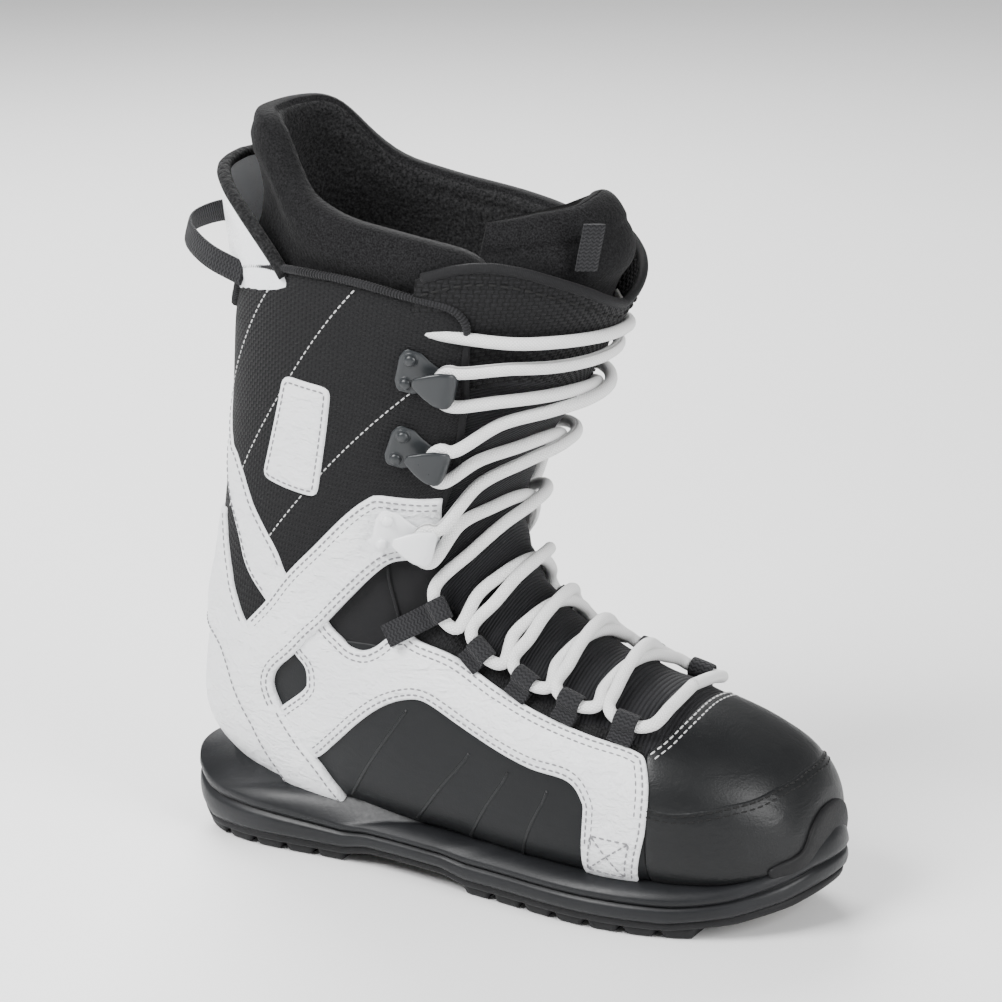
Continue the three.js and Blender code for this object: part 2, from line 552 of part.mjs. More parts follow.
function laceLoop(frame, tail) {
  const profile = new THREE.Shape();
  profile.moveTo(-tail, GAP);
  profile.lineTo(0, GAP);
  profile.absarc(0, LACE_HEIGHT, LOOP_OUTER, -Math.PI / 2, Math.PI * 0.75, false);
  profile.lineTo(-LOOP_OUTER - 1, GAP + WEB);
  profile.lineTo(-tail, GAP + WEB);
  const hole = new THREE.Path();
  hole.absarc(0, LACE_HEIGHT, LOOP_HOLE, 0, 2 * Math.PI, true);
  profile.holes.push(hole);
  const settings = { depth: LOOP_WIDTH, bevelEnabled: false, curveSegments: 5 };
  const geometry = new THREE.ExtrudeGeometry(profile, settings);
  geometry.rotateX(Math.PI / 2);
  geometry.translate(0, LOOP_WIDTH / 2, 0);
  return placed(geometry, frame);
}

for (const [sideName, side] of Object.entries(SIDES)) {
  LOOP_PLACES.forEach(({ t, angle }, i) => {
    const frame = surfaceFrame(t, angle, 0, side);
    addSolid(`lace_loop_${sideName}_${i + 1}`, laceLoop(frame, LOOP_TAIL), 'webbing');
  });
  const { t, angle, tail } = ANKLE_LOOP;
  addSolid(`ankle_loop_${sideName}`, laceLoop(surfaceFrame(t, angle, 0, side), tail), 'webbing');
}

// ---------------------------------------------------------------- lace
// A pass is the short run of lace through one loop, or round the wall of one hook.
const LOOP_PASS = [[3.5, -10.5], [0, -5.7], [0, 5.7], [3.5, 10.5]];
const HOOK_PASS = [[13, -10.5], [5, -9.8], [3.5, -4.6], [3.5, 4.6], [5, 9.8], [13, 10.5]];
const HOOK_LACE_HEIGHT = HOOK.plate + 0.4 + LACE_RADIUS;
const UNDER = GAP + LACE_RADIUS + 2.3;   // lace centre above the tongue
const OVER = UNDER + 2 * LACE_RADIUS + 1.4;

function lacePass(step, side) {
  const isHook = step > 4;
  const place = isHook ? HOOK_PLACES[step - 5] : [...LOOP_PLACES, ANKLE_LOOP][step];
  const frame = surfaceFrame(place.t, place.angle, isHook ? place.off : 0, side);
  const height = isHook ? HOOK_LACE_HEIGHT : LACE_HEIGHT;
  return (isHook ? HOOK_PASS : LOOP_PASS)
    .map(([x, y]) => new THREE.Vector3(x, y, height).applyMatrix4(frame));
}

const PASS_T = 0.3;                    // half the length of a pass, in stations
const stepPlace = (step) => [...LOOP_PLACES, ANKLE_LOOP, ...HOOK_PLACES][step];

// One strand over the tongue. It starts on the given side and lies on top if that is lateral.
function strand(start, end, side, ease = 1) {
  const count = start.angle + end.angle > 1.7 ? 5 : 3;
  return Array.from({ length: count }, (_, i) => (i + 0.5) / count).map((share) => {
    const t = THREE.MathUtils.lerp(start.t + PASS_T, end.t - PASS_T, share ** ease);
    const angle = THREE.MathUtils.lerp(start.angle, -end.angle, share) * (side < 0 ? 1 : -1);
    const lift = side < 0 ? Math.sin(Math.PI * share) ** 0.7 * (OVER - UNDER) : 0;
    return formPoint(t, angle, UNDER + lift);
  });
}

// The lace changes sides at each step, starting on firstSide at the step called from.
function climb(firstSide, from, to) {
  const points = [];
  for (let step = from; step <= to; step += 1) {
    const side = (step - from) % 2 === 0 ? firstSide : -firstSide;
    points.push(...lacePass(step, side));
    if (step < to) points.push(...strand(stepPlace(step), stepPlace(step + 1), side));
  }
  return points;
}

function laceTube(points) {
  const curve = new THREE.CatmullRomCurve3(points, false, 'centripetal');
  const section = new THREE.Shape();
  for (let i = 0; i < LACE_SIDES; i += 1) {
    const angle = (2 * Math.PI * i) / LACE_SIDES;
    const [x, y] = [LACE_RADIUS * Math.cos(angle), LACE_RADIUS * Math.sin(angle)];
    if (i === 0) section.moveTo(x, y);
    else section.lineTo(x, y);
  }
  curve.getUtoTmapping = (u) => u; // the tube's steps then fall on the given points
  const steps = points.length - 1;
  return solidOf(new THREE.ExtrudeGeometry(section, { steps, extrudePath: curve }));
}

const TOE_BAR_T = 4.12;
const TOP_BARS = {
  [-1]: { t: 14.7, angle: 1.3, ease: 1.6 },
  1: { t: 14.4, angle: 1.3, ease: 0.7 },
};
const toeBar = (side) => [
  formPoint(TOE_BAR_T, 0, UNDER), formPoint(TOE_BAR_T, -side * 0.4, UNDER),
];
const lowerHalf = (side) => laceTube([...toeBar(side), ...climb(side, 0, 3)]);
addSolid('lace_lower', lowerHalf(-1).add(lowerHalf(1)), 'whiteLace');

// The stretch that bends at the ankle: from the last webbing loop through the ankle loop to the first hook.
function flexStrand(side) {
  const start = lacePass(3, -side).at(-1);
  const end = lacePass(5, -side)[0];
  const toAnkle = strand(LOOP_PLACES[3], ANKLE_LOOP, -side);
  const toHook = strand(ANKLE_LOOP, HOOK_PLACES[0], side);
  return laceTube([
    start.clone().lerp(toAnkle[0], 0.35), ...toAnkle, ...lacePass(4, side), ...toHook,
    end.clone().lerp(toHook.at(-1), 0.35),
  ]);
}
addSolid('lace_flex_a', flexStrand(-1), 'whiteLace');
addSolid('lace_flex_b', flexStrand(1), 'whiteLace');

// The top strand runs round the shin and its end is tucked in under the other side's cuff edge.
function upperHalf(side) {
  const end = TOP_BARS[side];
  return laceTube([...climb(side, 5, 7), ...strand(HOOK_PLACES[2], end, side, end.ease)]);
}
addSolid('lace_upper_a', upperHalf(1), 'whiteLace');
addSolid('lace_upper_b', upperHalf(-1), 'whiteLace');

// ---------------------------------------------------------------- pull loops
const PULL = { x: -106, z: 268, halfWidth: 43.5, reach: 48, height: 11, thickness: 1.8, tilt: 16 };

function rearPullLoop() {
  const outline = (inset) => {
    const half = PULL.halfWidth - inset;
    const back = PULL.reach - inset;
    return [[0, -half], [-0.5 * back, -half], [-0.85 * back, -0.8 * half], [-back, -0.35 * half],
      [-back, 0.35 * half], [-0.85 * back, 0.8 * half], [-0.5 * back, half], [0, half]];
  };
  const band = [...outline(0), ...outline(PULL.thickness).reverse()];
  const shape = new THREE.Shape(band.map(([x, y]) => new THREE.Vector2(x, y)));
  const geometry = new THREE.ExtrudeGeometry(shape, { depth: PULL.height, bevelEnabled: false });
  geometry.translate(0, 0, -PULL.height / 2);
  geometry.rotateY(THREE.MathUtils.degToRad(PULL.tilt));
  geometry.translate(PULL.x, 0, PULL.z);
  return solidOf(geometry);
}
addSolid('rear_pull_loop', rearPullLoop(), 'webbing');

const TAB = { t: 15.1, angle: 0.52, width: 10, height: 22, thickness: 1.4 };
const tab = new THREE.BoxGeometry(TAB.width, TAB.height, TAB.thickness);
addSolid('liner_pull_tab', placed(tab, surfaceFrame(TAB.t, TAB.angle, -5.45, -1)), 'webbing');

// The origin lies on the floor under the middle of the whole boot.
const whole = new THREE.Box3().setFromObject(boot);
boot.position.x = -(whole.min.x + whole.max.x) / 2;

export default boot;
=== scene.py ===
"""Looks of a laced snowboard boot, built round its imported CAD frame.

Lengths are in mm until a mesh is made.
"""
import math

import bmesh
import bpy
import numpy as np
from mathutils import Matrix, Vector
from mathutils.geometry import delaunay_2d_cdt


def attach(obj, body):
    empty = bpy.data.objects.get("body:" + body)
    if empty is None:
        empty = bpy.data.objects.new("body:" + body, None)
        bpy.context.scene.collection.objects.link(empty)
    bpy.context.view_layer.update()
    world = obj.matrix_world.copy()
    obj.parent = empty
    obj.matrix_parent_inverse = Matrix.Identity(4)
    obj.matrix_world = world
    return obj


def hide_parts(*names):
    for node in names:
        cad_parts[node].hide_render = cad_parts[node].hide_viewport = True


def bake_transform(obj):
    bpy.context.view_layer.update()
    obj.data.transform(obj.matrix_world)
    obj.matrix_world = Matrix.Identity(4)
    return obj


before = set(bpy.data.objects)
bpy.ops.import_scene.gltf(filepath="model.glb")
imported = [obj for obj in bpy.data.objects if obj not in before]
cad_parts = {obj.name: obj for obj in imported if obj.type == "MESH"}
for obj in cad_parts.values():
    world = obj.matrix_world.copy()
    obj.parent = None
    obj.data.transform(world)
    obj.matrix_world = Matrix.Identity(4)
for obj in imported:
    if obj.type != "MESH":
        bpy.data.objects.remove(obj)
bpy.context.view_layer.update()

MM = 0.001
SHIFT_X = -2.6717              # the frame's origin lies under the middle of the boot
LATERAL, MEDIAL = -1, 1
TAU = 2 * math.pi

# ---------------------------------------------------------------- the boot's form
# bx bz: sole or back line. fx fz: instep or shin line. wl wm: half widths. yc: centre.
# m: where the widest point lies. pb pf: roundness at the back and at the front.
STATIONS = np.array([
    [154, 40, 154, 40, 0, 0, 9, .50, 2.3, 2.2],
    [151, 26, 150, 58, 24, 22, 9, .48, 2.6, 2.2],
    [141, 20, 138, 74, 38, 35, 8, .45, 3.0, 2.2],
    [123, 17, 119, 85, 48, 43, 5, .42, 3.2, 2.2],
    [98, 16, 94, 94, 53, 47, 2, .40, 3.4, 2.2],
    [66, 16, 63, 104, 54, 48, 0, .40, 3.4, 2.1],
    [30, 16, 38, 114, 52, 46, 0, .42, 3.2, 2.1],
    [-10, 17, 20, 127, 48, 44, 0, .44, 3.0, 2.1],
    [-55, 19, 9, 145, 46, 43, 0, .47, 2.8, 2.1],
    [-106, 24, 6, 166, 44, 43, 0, .50, 2.6, 2.1],
    [-144, 50, 12, 187, 45, 45, 0, .50, 2.4, 2.1],
    [-143, 100, 23, 206, 47, 47, 0, .50, 2.3, 2.1],
    [-136, 150, 36, 225, 50, 50, 0, .50, 2.3, 2.2],
    [-130, 200, 47, 245, 53, 53, 0, .50, 2.3, 2.2],
    [-127, 250, 58, 268, 57, 57, 0, .50, 2.3, 2.2],
    [-127, 292, 67, 293, 60, 60, 0, .50, 2.3, 2.2],
    [-129, 325, 72, 324, 62, 62, 0, .50, 2.3, 2.2],
    [-131, 358, 76, 355, 63, 63, 0, .50, 2.3, 2.2],
])
LAST = len(STATIONS) - 1
GHOSTED = np.vstack([
    STATIONS[1] * [1, 1, 1, 1, -1, -1, 1, 1, 1, 1], STATIONS, 2 * STATIONS[-1] - STATIONS[-2],
])


def station(t):
    """The form's ten values at station t, by a Catmull-Rom curve through the rows."""
    i = np.clip(np.floor(t).astype(int), 0, LAST - 1)
    u = t - i
    a, b, c, d = (np.moveaxis(GHOSTED[i + k], -1, 0) for k in range(4))
    return .5 * (2 * b + (c - a) * u + (2 * a - 5 * b + 4 * c - d) * u * u
                 + (3 * b - a - 3 * c + d) * u ** 3)


def ring_radius(angle, pb, pf):
    c, s = np.cos(angle), np.sin(angle)
    k = .5 + .5 * c
    power = pb + (pf - pb) * k * k * (3 - 2 * k)
    return (np.abs(c) ** power + np.abs(s) ** power) ** (-1 / power)


def bare_point(t, angle):
    bx, bz, fx, fz, wl, wm, yc, m, pb, pf = station(t)
    c, s = np.cos(angle), np.sin(angle)
    r = ring_radius(angle, pb, pf)
    share = m + np.where(c > 0, 1 - m, m) * r * c
    return np.stack([bx + share * (fx - bx), yc - np.where(s > 0, wl, wm) * r * s,
                     bz + share * (fz - bz)], -1)


def outward(t, angle):
    step = 1e-3
    after, before = np.clip(t + step, 0, LAST), np.clip(t - step, 0, LAST)
    along_t = bare_point(after, angle) - bare_point(before, angle)
    along_a = bare_point(t, angle + step) - bare_point(t, angle - step)
    n = np.cross(along_t, along_a)
    return n / np.maximum(np.linalg.norm(n, axis=-1, keepdims=True), 1e-12)


def on_form(t, angle, off=0.0):
    """Points on the form, raised by off, at stations t and angles.

    An angle is 0 in front and pi at the back, with the lateral side between.
    """
    t, angle, off = np.broadcast_arrays(
        np.asarray(t, float), np.asarray(angle, float), np.asarray(off, float))
    t = np.clip(t, 0.02, LAST)
    return bare_point(t, angle) + off[..., None] * outward(t, angle)


LINE_TS = np.linspace(0, LAST, 1701)
LINES = station(LINE_TS)
HALF_TURN = np.linspace(0, math.pi, 361)


def locate(x, z):
    """Station and angle on the lateral side of the point seen at x, z from the side."""
    bx, bz, fx, fz = LINES[:4]
    side = (fx - bx) * (z - bz) - (fz - bz) * (x - bx)
    length2 = np.maximum((fx - bx) ** 2 + (fz - bz) ** 2, 1e-9)
    share = ((x - bx) * (fx - bx) + (z - bz) * (fz - bz)) / length2
    flips = np.where(np.sign(side[:-1]) != np.sign(side[1:]))[0]
    if len(flips) == 0:
        flips = np.array([int(np.argmin(np.abs(side) / np.sqrt(length2)))])
    outside = np.maximum(np.maximum(-share[flips], share[flips] - 1), 0)
    i = flips[int(np.argmin(outside))]
    j = min(i + 1, LAST * 100)
    u = side[i] / (side[i] - side[j]) if side[i] != side[j] else 0
    t = LINE_TS[i] + np.clip(u, 0, 1) * (LINE_TS[j] - LINE_TS[i])
    m, pb, pf = station(np.array(t))[7:]
    c = np.cos(HALF_TURN)
    shares = m + np.where(c > 0, 1 - m, m) * ring_radius(HALF_TURN, pb, pf) * c
    f = share[i] + np.clip(u, 0, 1) * (share[j] - share[i])
    return t, float(np.interp(-f, -shares, HALF_TURN))


# ---------------------------------------------------------------- outlines
def smooth_line(points, step=2.0, closed=False):
    """A curve through points. A third value of 1 marks a sharp corner."""
    points = [tuple(p) + (0,) * (3 - len(p)) for p in points]
    count = len(points)
    corners = [i for i, p in enumerate(points) if p[2]] if closed else [
        i for i, p in enumerate(points) if p[2] or i in (0, count - 1)]
    xy = np.array([p[:2] for p in points], float)
    if closed and not corners:
        runs = [[k % count for k in range(-1, count + 2)]]
        trim = True
    else:
        pairs = zip(corners, corners[1:] + [corners[0] + count]) if closed else zip(corners, corners[1:])
        runs = [[k % count for k in range(a, b + 1)] for a, b in pairs]
        trim = False
    line = []
    for run in runs:
        p = xy[run]
        if not trim:
            p = np.vstack([2 * p[0] - p[1], p, 2 * p[-1] - p[-2]])
        for a, b, c, d in zip(p, p[1:], p[2:], p[3:]):
            n = max(1, int(math.ceil(np.linalg.norm(c - b) / step)))
            for u in np.arange(n) / n:
                line.append(.5 * (2 * b + (c - a) * u + (2 * a - 5 * b + 4 * c - d) * u * u
                                  + (3 * b - a - 3 * c + d) * u ** 3))
    if not closed:
        line.append(xy[-1])
    return np.array(line)


def mirrored(line):
    """The same line on the medial side, with angles past the back."""
    return np.stack([line[:, 0], TAU - line[:, 1]], 1)


def round_the_back(line):
    return np.vstack([line, mirrored(line)[::-1]])


def round_the_front(line):
    return np.vstack([line, np.stack([line[:, 0], -line[:, 1]], 1)[::-1]])


def resampled(line, step, closed=True):
    """Points at even distances along the line, measured on the form."""
    ring = np.vstack([line, line[:1]]) if closed else line
    far = np.concatenate([[0], np.cumsum(np.linalg.norm(
        np.diff(on_form(ring[:, 0], ring[:, 1]), axis=0), axis=1))])
    count = max(2, int(round(far[-1] / step)))
    at = np.linspace(0, far[-1], count + 1)
    if closed:
        at = at[:-1]
    return np.stack([np.interp(at, far, ring[:, k]) for k in (0, 1)], 1)


def moved_in(line, distance, closed=True):
    """The line moved sideways on the form, to its left seen from outside."""
    point = on_form(line[:, 0], line[:, 1])
    if closed:
        tangent = np.roll(point, -1, 0) - np.roll(point, 1, 0)
    else:
        tangent = np.gradient(point, axis=0)
    normal = outward(np.clip(line[:, 0], .03, LAST), line[:, 1])
    left = np.cross(normal, tangent)
    left /= np.maximum(np.linalg.norm(left, axis=1, keepdims=True), 1e-9)
    step = 1e-3
    t = np.clip(line[:, 0], .03, LAST - .01)
    d_t = (bare_point(t + step, line[:, 1]) - bare_point(t, line[:, 1])) / step
    d_a = (bare_point(t, line[:, 1] + step) - bare_point(t, line[:, 1])) / step
    g = np.stack([np.stack([(d_t * d_t).sum(1), (d_t * d_a).sum(1)], 1),
                  np.stack([(d_t * d_a).sum(1), (d_a * d_a).sum(1)], 1)], 1)
    rhs = np.stack([(left * d_t).sum(1), (left * d_a).sum(1)], 1)
    g += np.eye(2) * 1e-3
    shift = np.linalg.solve(g, rhs[..., None])[..., 0]
    return line + distance * shift


def signed_area(p):
    return .5 * float(np.sum(p[:, 0] * np.roll(p[:, 1], -1) - np.roll(p[:, 0], -1) * p[:, 1]))


def inside(points, ring):
    """Even-odd test of many points against one closed ring."""
    x, y = points[:, 0][:, None], points[:, 1][:, None]
    ax, ay = ring[:, 0], ring[:, 1]
    bx, by = np.roll(ax, -1), np.roll(ay, -1)
    crosses = (ay > y) != (by > y)
    with np.errstate(divide="ignore", invalid="ignore"):
        at = ax + (y - ay) / (by - ay) * (bx - ax)
    return (crosses & (x < at)).sum(1) % 2 == 1


# ---------------------------------------------------------------- meshes
def new_mesh(name, verts, faces, material, uv=None):
    """An object from points in mm. uv holds one pair for each point, in mm."""
    data = bpy.data.meshes.new(name)
    verts = np.asarray(verts, float) * MM
    verts[:, 0] += SHIFT_X * MM
    data.from_pydata([tuple(v) for v in verts], [], [tuple(int(i) for i in f) for f in faces])
    if uv is not None:
        layer = data.uv_layers.new(name="UVMap")
        index = np.zeros(len(data.loops), np.int32)
        data.loops.foreach_get("vertex_index", index)
        layer.data.foreach_set("uv", (np.asarray(uv, float) * MM)[index].astype(np.float32).ravel())
    data.polygons.foreach_set("use_smooth", [True] * len(data.polygons))
    data.materials.append(material)
    data.update()
    thing = bpy.data.objects.new(name, data)
    bpy.context.scene.collection.objects.link(thing)
    return thing


def flat_map(line, polar):
    """Where a station and angle lie in the plane that panels are triangulated in."""
    t, a = line[:, 0], line[:, 1]
    if polar:
        return np.stack([36 * t * np.cos(a), 36 * t * np.sin(a)], 1)
    return np.stack([36 * t, 48 * a], 1)


def from_flat(p, polar):
    if polar:
        return np.stack([np.hypot(p[:, 0], p[:, 1]) / 36, np.arctan2(p[:, 1], p[:, 0])], 1)
    return np.stack([p[:, 0] / 36, p[:, 1] / 48], 1)


def panel(name, outline, material, base, thick, polar=False, grid=4.0, relief=None, edge=1.1,
          puff=0.0, lean=False):
    """A sewn panel on the form: underside at base, rounded edge, top at base + thick.
    relief raises the top, and with lean the underside too."""
    ring = resampled(outline, 2.0)
    if signed_area(flat_map(ring, polar)) < 0:
        ring = ring[::-1]
    n = len(ring)
    verts, uvs, faces, levels = [], [], [], []
    count = 0
    for inset, rise in ((0, 0), (0, .55), (.3 * edge, .87), (edge, 1)):
        moved = moved_in(ring, inset)
        off = base + thick * rise
        if relief is not None:
            off = off + relief(moved) * (1 if lean else rise)
        verts.append(on_form(moved[:, 0], moved[:, 1], off))
        uvs.append(flat_map(moved, polar))
        levels.append((count, moved))
        count += n
    for (a, _), (b, _) in zip(levels, levels[1:]):
        faces += [(a + i, a + (i + 1) % n, b + (i + 1) % n, b + i) for i in range(n)]

    def fill(level, height, flip):
        """Closes one face of the panel with an even grid of triangles inside the ring."""
        nonlocal count
        start, ring_line = level
        flat = flat_map(ring_line, polar)
        lo, hi = flat.min(0), flat.max(0)
        gx, gy = np.meshgrid(np.arange(lo[0], hi[0], grid),
                             np.arange(lo[1], hi[1], grid * .87), indexing="ij")
        gx = gx + (np.arange(gy.shape[1]) % 2)[None, :] * grid / 2
        seeds = np.stack([gx.ravel(), gy.ravel()], 1)
        seeds = seeds[inside(seeds, flat)]
        if len(seeds):
            gap = np.array([np.min(np.sum((flat - s) ** 2, 1)) for s in seeds])
            seeds = seeds[gap > (.45 * grid) ** 2]
        own = np.vstack([flat, seeds]) if len(seeds) else flat
        index = np.arange(start, start + n)
        edges = [(i, (i + 1) % n) for i in range(n)]
        out_v, _, out_f, origin, _, _ = delaunay_2d_cdt(
            [Vector(p) for p in own], edges, [], 1, 1e-6)
        out_v = np.array([tuple(v) for v in out_v])
        target = np.full(len(out_v), -1)
        for k, source in enumerate(origin):
            known = [s for s in source if s < n]
            if known:
                target[k] = index[known[0]]
        fresh = np.where(target < 0)[0]
        if len(fresh):
            line = from_flat(out_v[fresh], polar)
            off = np.full(len(line), float(height))
            if not flip:
                from_edge = np.sqrt([np.min(np.sum((flat - p) ** 2, 1)) for p in out_v[fresh]])
                off += puff * (1 - np.exp(-from_edge / 5))
            if relief is not None and (lean or not flip):
                off += relief(line)
            verts.append(on_form(line[:, 0], line[:, 1], off))
            uvs.append(out_v[fresh])
            target[fresh] = np.arange(count, count + len(fresh))
            count += len(fresh)
        tris = np.array([f for f in out_f if len(f) == 3])
        good = inside(out_v[tris].mean(1), flat)
        for a, b, c in target[tris[good]]:
            faces.append((a, c, b) if flip else (a, b, c))

    fill(levels[-1], base + thick, False)
    fill(levels[0], base, True)
    return new_mesh(name, np.vstack(verts), faces, material, np.vstack(uvs))


def tube(name, path, radius, material, sides=12, normal=None, squash=1.0, ribs=None):
    """A round or oval tube along points in mm. normal holds the squashed direction at each point."""
    path = np.asarray(path, float)
    tangent = np.gradient(path, axis=0)
    tangent /= np.maximum(np.linalg.norm(tangent, axis=1, keepdims=True), 1e-9)
    if normal is None:
        normal = np.zeros_like(path)
        last = np.cross(tangent[0], [.3, .1, .94])
        for i, tan in enumerate(tangent):
            last = last - tan * (last @ tan)
            last /= np.linalg.norm(last)
            normal[i] = last
    else:
        normal = normal - tangent * np.sum(normal * tangent, 1, keepdims=True)
        normal /= np.maximum(np.linalg.norm(normal, axis=1, keepdims=True), 1e-9)
    across = np.cross(tangent, normal)
    far = np.concatenate([[0], np.cumsum(np.linalg.norm(np.diff(path, axis=0), axis=1))])
    radii = np.broadcast_to(np.asarray(radius, float), (len(path),)).copy()
    if ribs:
        radii = radii * (1 + ribs[1] * np.sin(TAU * far / ribs[0]))
    turn = np.arange(sides) / sides * TAU
    ring = (np.cos(turn)[None, :, None] * across[:, None, :]
            + squash * np.sin(turn)[None, :, None] * normal[:, None, :])
    verts = (path[:, None, :] + radii[:, None, None] * ring).reshape(-1, 3)
    uv = np.stack([np.repeat(far, sides), np.tile(turn * radii[0], len(path))], 1)
    n = len(path)
    faces = []
    for i in range(n - 1):
        a, b = i * sides, (i + 1) * sides
        faces += [(a + j, a + (j + 1) % sides, b + (j + 1) % sides, b + j) for j in range(sides)]
    verts = np.vstack([verts, path[0], path[-1]])
    uv = np.vstack([uv, uv[0], uv[-1]])
    e = n * sides
    last = (n - 1) * sides
    faces += [((j + 1) % sides, j, e) for j in range(sides)]
    faces += [(last + j, last + (j + 1) % sides, e + 1) for j in range(sides)]
    return new_mesh(name, verts, faces, material, uv)


def joined(name, parts):
    """One object from several, keeping their materials."""
    for thing in bpy.context.selected_objects:
        thing.select_set(False)
    for thing in parts:
        thing.select_set(True)
    bpy.context.view_layer.objects.active = parts[0]
    bpy.ops.object.join()
    parts[0].name = name
    parts[0].data.name = name
    return parts[0]


def frame_at(t, angle, off, side):
    """Origin and axes on the form: x towards the throat, y up the boot, z outwards."""
    turn = angle if side == LATERAL else TAU - angle
    normal = outward(np.array(t), np.array(turn))
    up = bare_point(np.array(t + .02), np.array(turn)) - bare_point(np.array(t - .02), np.array(turn))
    up -= normal * (up @ normal)
    up /= np.linalg.norm(up)
    across = np.cross(up, normal) * (1 if side == LATERAL else -1)
    return on_form(t, turn, off), np.array([across, up, normal])


def to_world(points, place):
    origin, axes = place
    return origin + np.asarray(points, float) @ axes


def ribbon(name, place, path, half_width, thickness, material, ridge=None, around=14):
    """A strap swept along a path of x and z in a local frame, its width along y."""
    path = np.asarray(path, float)
    far = np.concatenate([[0], np.cumsum(np.linalg.norm(np.diff(path, axis=0), axis=1))])
    n = len(path)
    tangent = np.gradient(path, axis=0)
    tangent /= np.linalg.norm(tangent, axis=1, keepdims=True)
    normal = np.stack([-tangent[:, 1], tangent[:, 0]], 1)
    half = np.array([half_width(s / far[-1]) if callable(half_width) else half_width for s in far])
    thick = np.array([thickness(s / far[-1]) if callable(thickness) else thickness for s in far])
    turn = (np.arange(2 * around) + .5) / (2 * around) * TAU
    wide = np.sign(np.cos(turn)) * np.abs(np.cos(turn)) ** .45
    high = np.sign(np.sin(turn)) * np.abs(np.sin(turn)) ** .7
    local, uv = [], []
    for i in range(n):
        y = half[i] * wide
        z = .5 * thick[i] * high
        if ridge is not None:
            z = z + ridge(far[i] / far[-1], wide) * (high > 0)
        local.append(np.stack([path[i, 0] + normal[i, 0] * z, y, path[i, 1] + normal[i, 1] * z], 1))
        uv.append(np.stack([np.full(len(y), far[i]), y], 1))
    local = np.vstack(local)
    uv = np.vstack(uv)
    m = 2 * around
    faces = []
    for i in range(n - 1):
        a, b = i * m, (i + 1) * m
        faces += [(a + j, a + (j + 1) % m, b + (j + 1) % m, b + j) for j in range(m)]
    faces.append(tuple(range(m))[::-1])
    faces.append(tuple(range((n - 1) * m, n * m)))
    if np.linalg.det(place[1]) > 0:
        faces = [f[::-1] for f in faces]
    return new_mesh(name, to_world(local, place), faces, material, uv)


def dashes(name, runs, thread, length=2.3, gap=1.0, width=.42):
    """Stitches: small sunk capsules along runs, each a line of stations and angles with a height."""
    sides, rings = 6, ((-1, .25), (-.82, .8), (0, 1), (.82, .8), (1, .25))
    verts, faces, uvs = [], [], []
    count = 0
    for line, off in runs:
        points = on_form(line[:, 0], line[:, 1], off)
        far = np.concatenate([[0], np.cumsum(np.linalg.norm(np.diff(points, axis=0), axis=1))])
        total = int(far[-1] // (length + gap))
        if total < 1:
            continue
        middle = (np.arange(total) + .5) * far[-1] / total
        mid = np.stack([np.interp(middle, far, points[:, k]) for k in range(3)], 1)
        ahead = np.stack([np.interp(middle + 1, far, points[:, k]) for k in range(3)], 1)
        back = np.stack([np.interp(middle - 1, far, points[:, k]) for k in range(3)], 1)
        tangent = ahead - back
        tangent /= np.maximum(np.linalg.norm(tangent, axis=1, keepdims=True), 1e-9)
        t = np.interp(middle, far, line[:, 0])
        a = np.interp(middle, far, line[:, 1])
        normal = outward(np.clip(t, .03, LAST), a)
        side = np.cross(normal, tangent)
        for along, size in rings:
            for k in range(sides):
                c, s = math.cos(k / sides * TAU), math.sin(k / sides * TAU)
                verts.append(mid + tangent * (along * length / 2) + side * (c * width * size)
                             + normal * (s * width * size))
        base = count + np.arange(total)
        for r in range(len(rings) - 1):
            for k in range(sides):
                q = [(r * sides + k) * total, (r * sides + (k + 1) % sides) * total,
                     ((r + 1) * sides + (k + 1) % sides) * total, ((r + 1) * sides + k) * total]
                faces.append(np.stack([base + v for v in q], 1))
        for r, order in ((0, -1), (len(rings) - 1, 1)):
            cap = [(r * sides + k) * total for k in range(sides)][::order]
            for k in range(1, sides - 1):
                faces.append(np.stack([base + cap[0], base + cap[k], base + cap[k + 1],
                                       base + cap[k + 1]], 1))
        uvs.append(np.zeros((total * sides * len(rings), 2)))
        count += total * sides * len(rings)
    quads = np.vstack(faces)
    tidy = [tuple(dict.fromkeys(int(v) for v in q)) for q in quads]
    return new_mesh(name, np.vstack(verts), tidy, thread, np.vstack(uvs))


def skin(name, points, material, uv=None, loop_u=False, capped=True):
    """A mesh from a grid of points[u, v], closed round v. Open ends are closed by a fan when capped."""
    nu, nv = points.shape[:2]
    verts = points.reshape(-1, 3)
    faces = []
    for i in range(nu if loop_u else nu - 1):
        for j in range(nv):
            a, b = i * nv + j, i * nv + (j + 1) % nv
            c, d = ((i + 1) % nu) * nv + (j + 1) % nv, ((i + 1) % nu) * nv + j
            faces.append((a, b, c, d))
    if uv is not None:
        uv = uv.reshape(-1, 2)
    if capped and not loop_u:
        ends = points[[0, -1]].mean(1)
        verts = np.vstack([verts, ends])
        if uv is not None:
            uv = np.vstack([uv, uv[:nv].mean(0), uv[-nv:].mean(0)])
        e = nu * nv
        faces += [((j + 1) % nv, j, e) for j in range(nv)]
        last = (nu - 1) * nv
        faces += [(last + j, last + (j + 1) % nv, e + 1) for j in range(nv)]
    return new_mesh(name, verts, faces, material, uv)


def face_out(thing):
    """Turns a closed mesh's faces outwards."""
    data = thing.data
    work = bmesh.new()
    work.from_mesh(data)
    bmesh.ops.recalc_face_normals(work, faces=work.faces)
    work.to_mesh(data)
    work.free()
    return thing


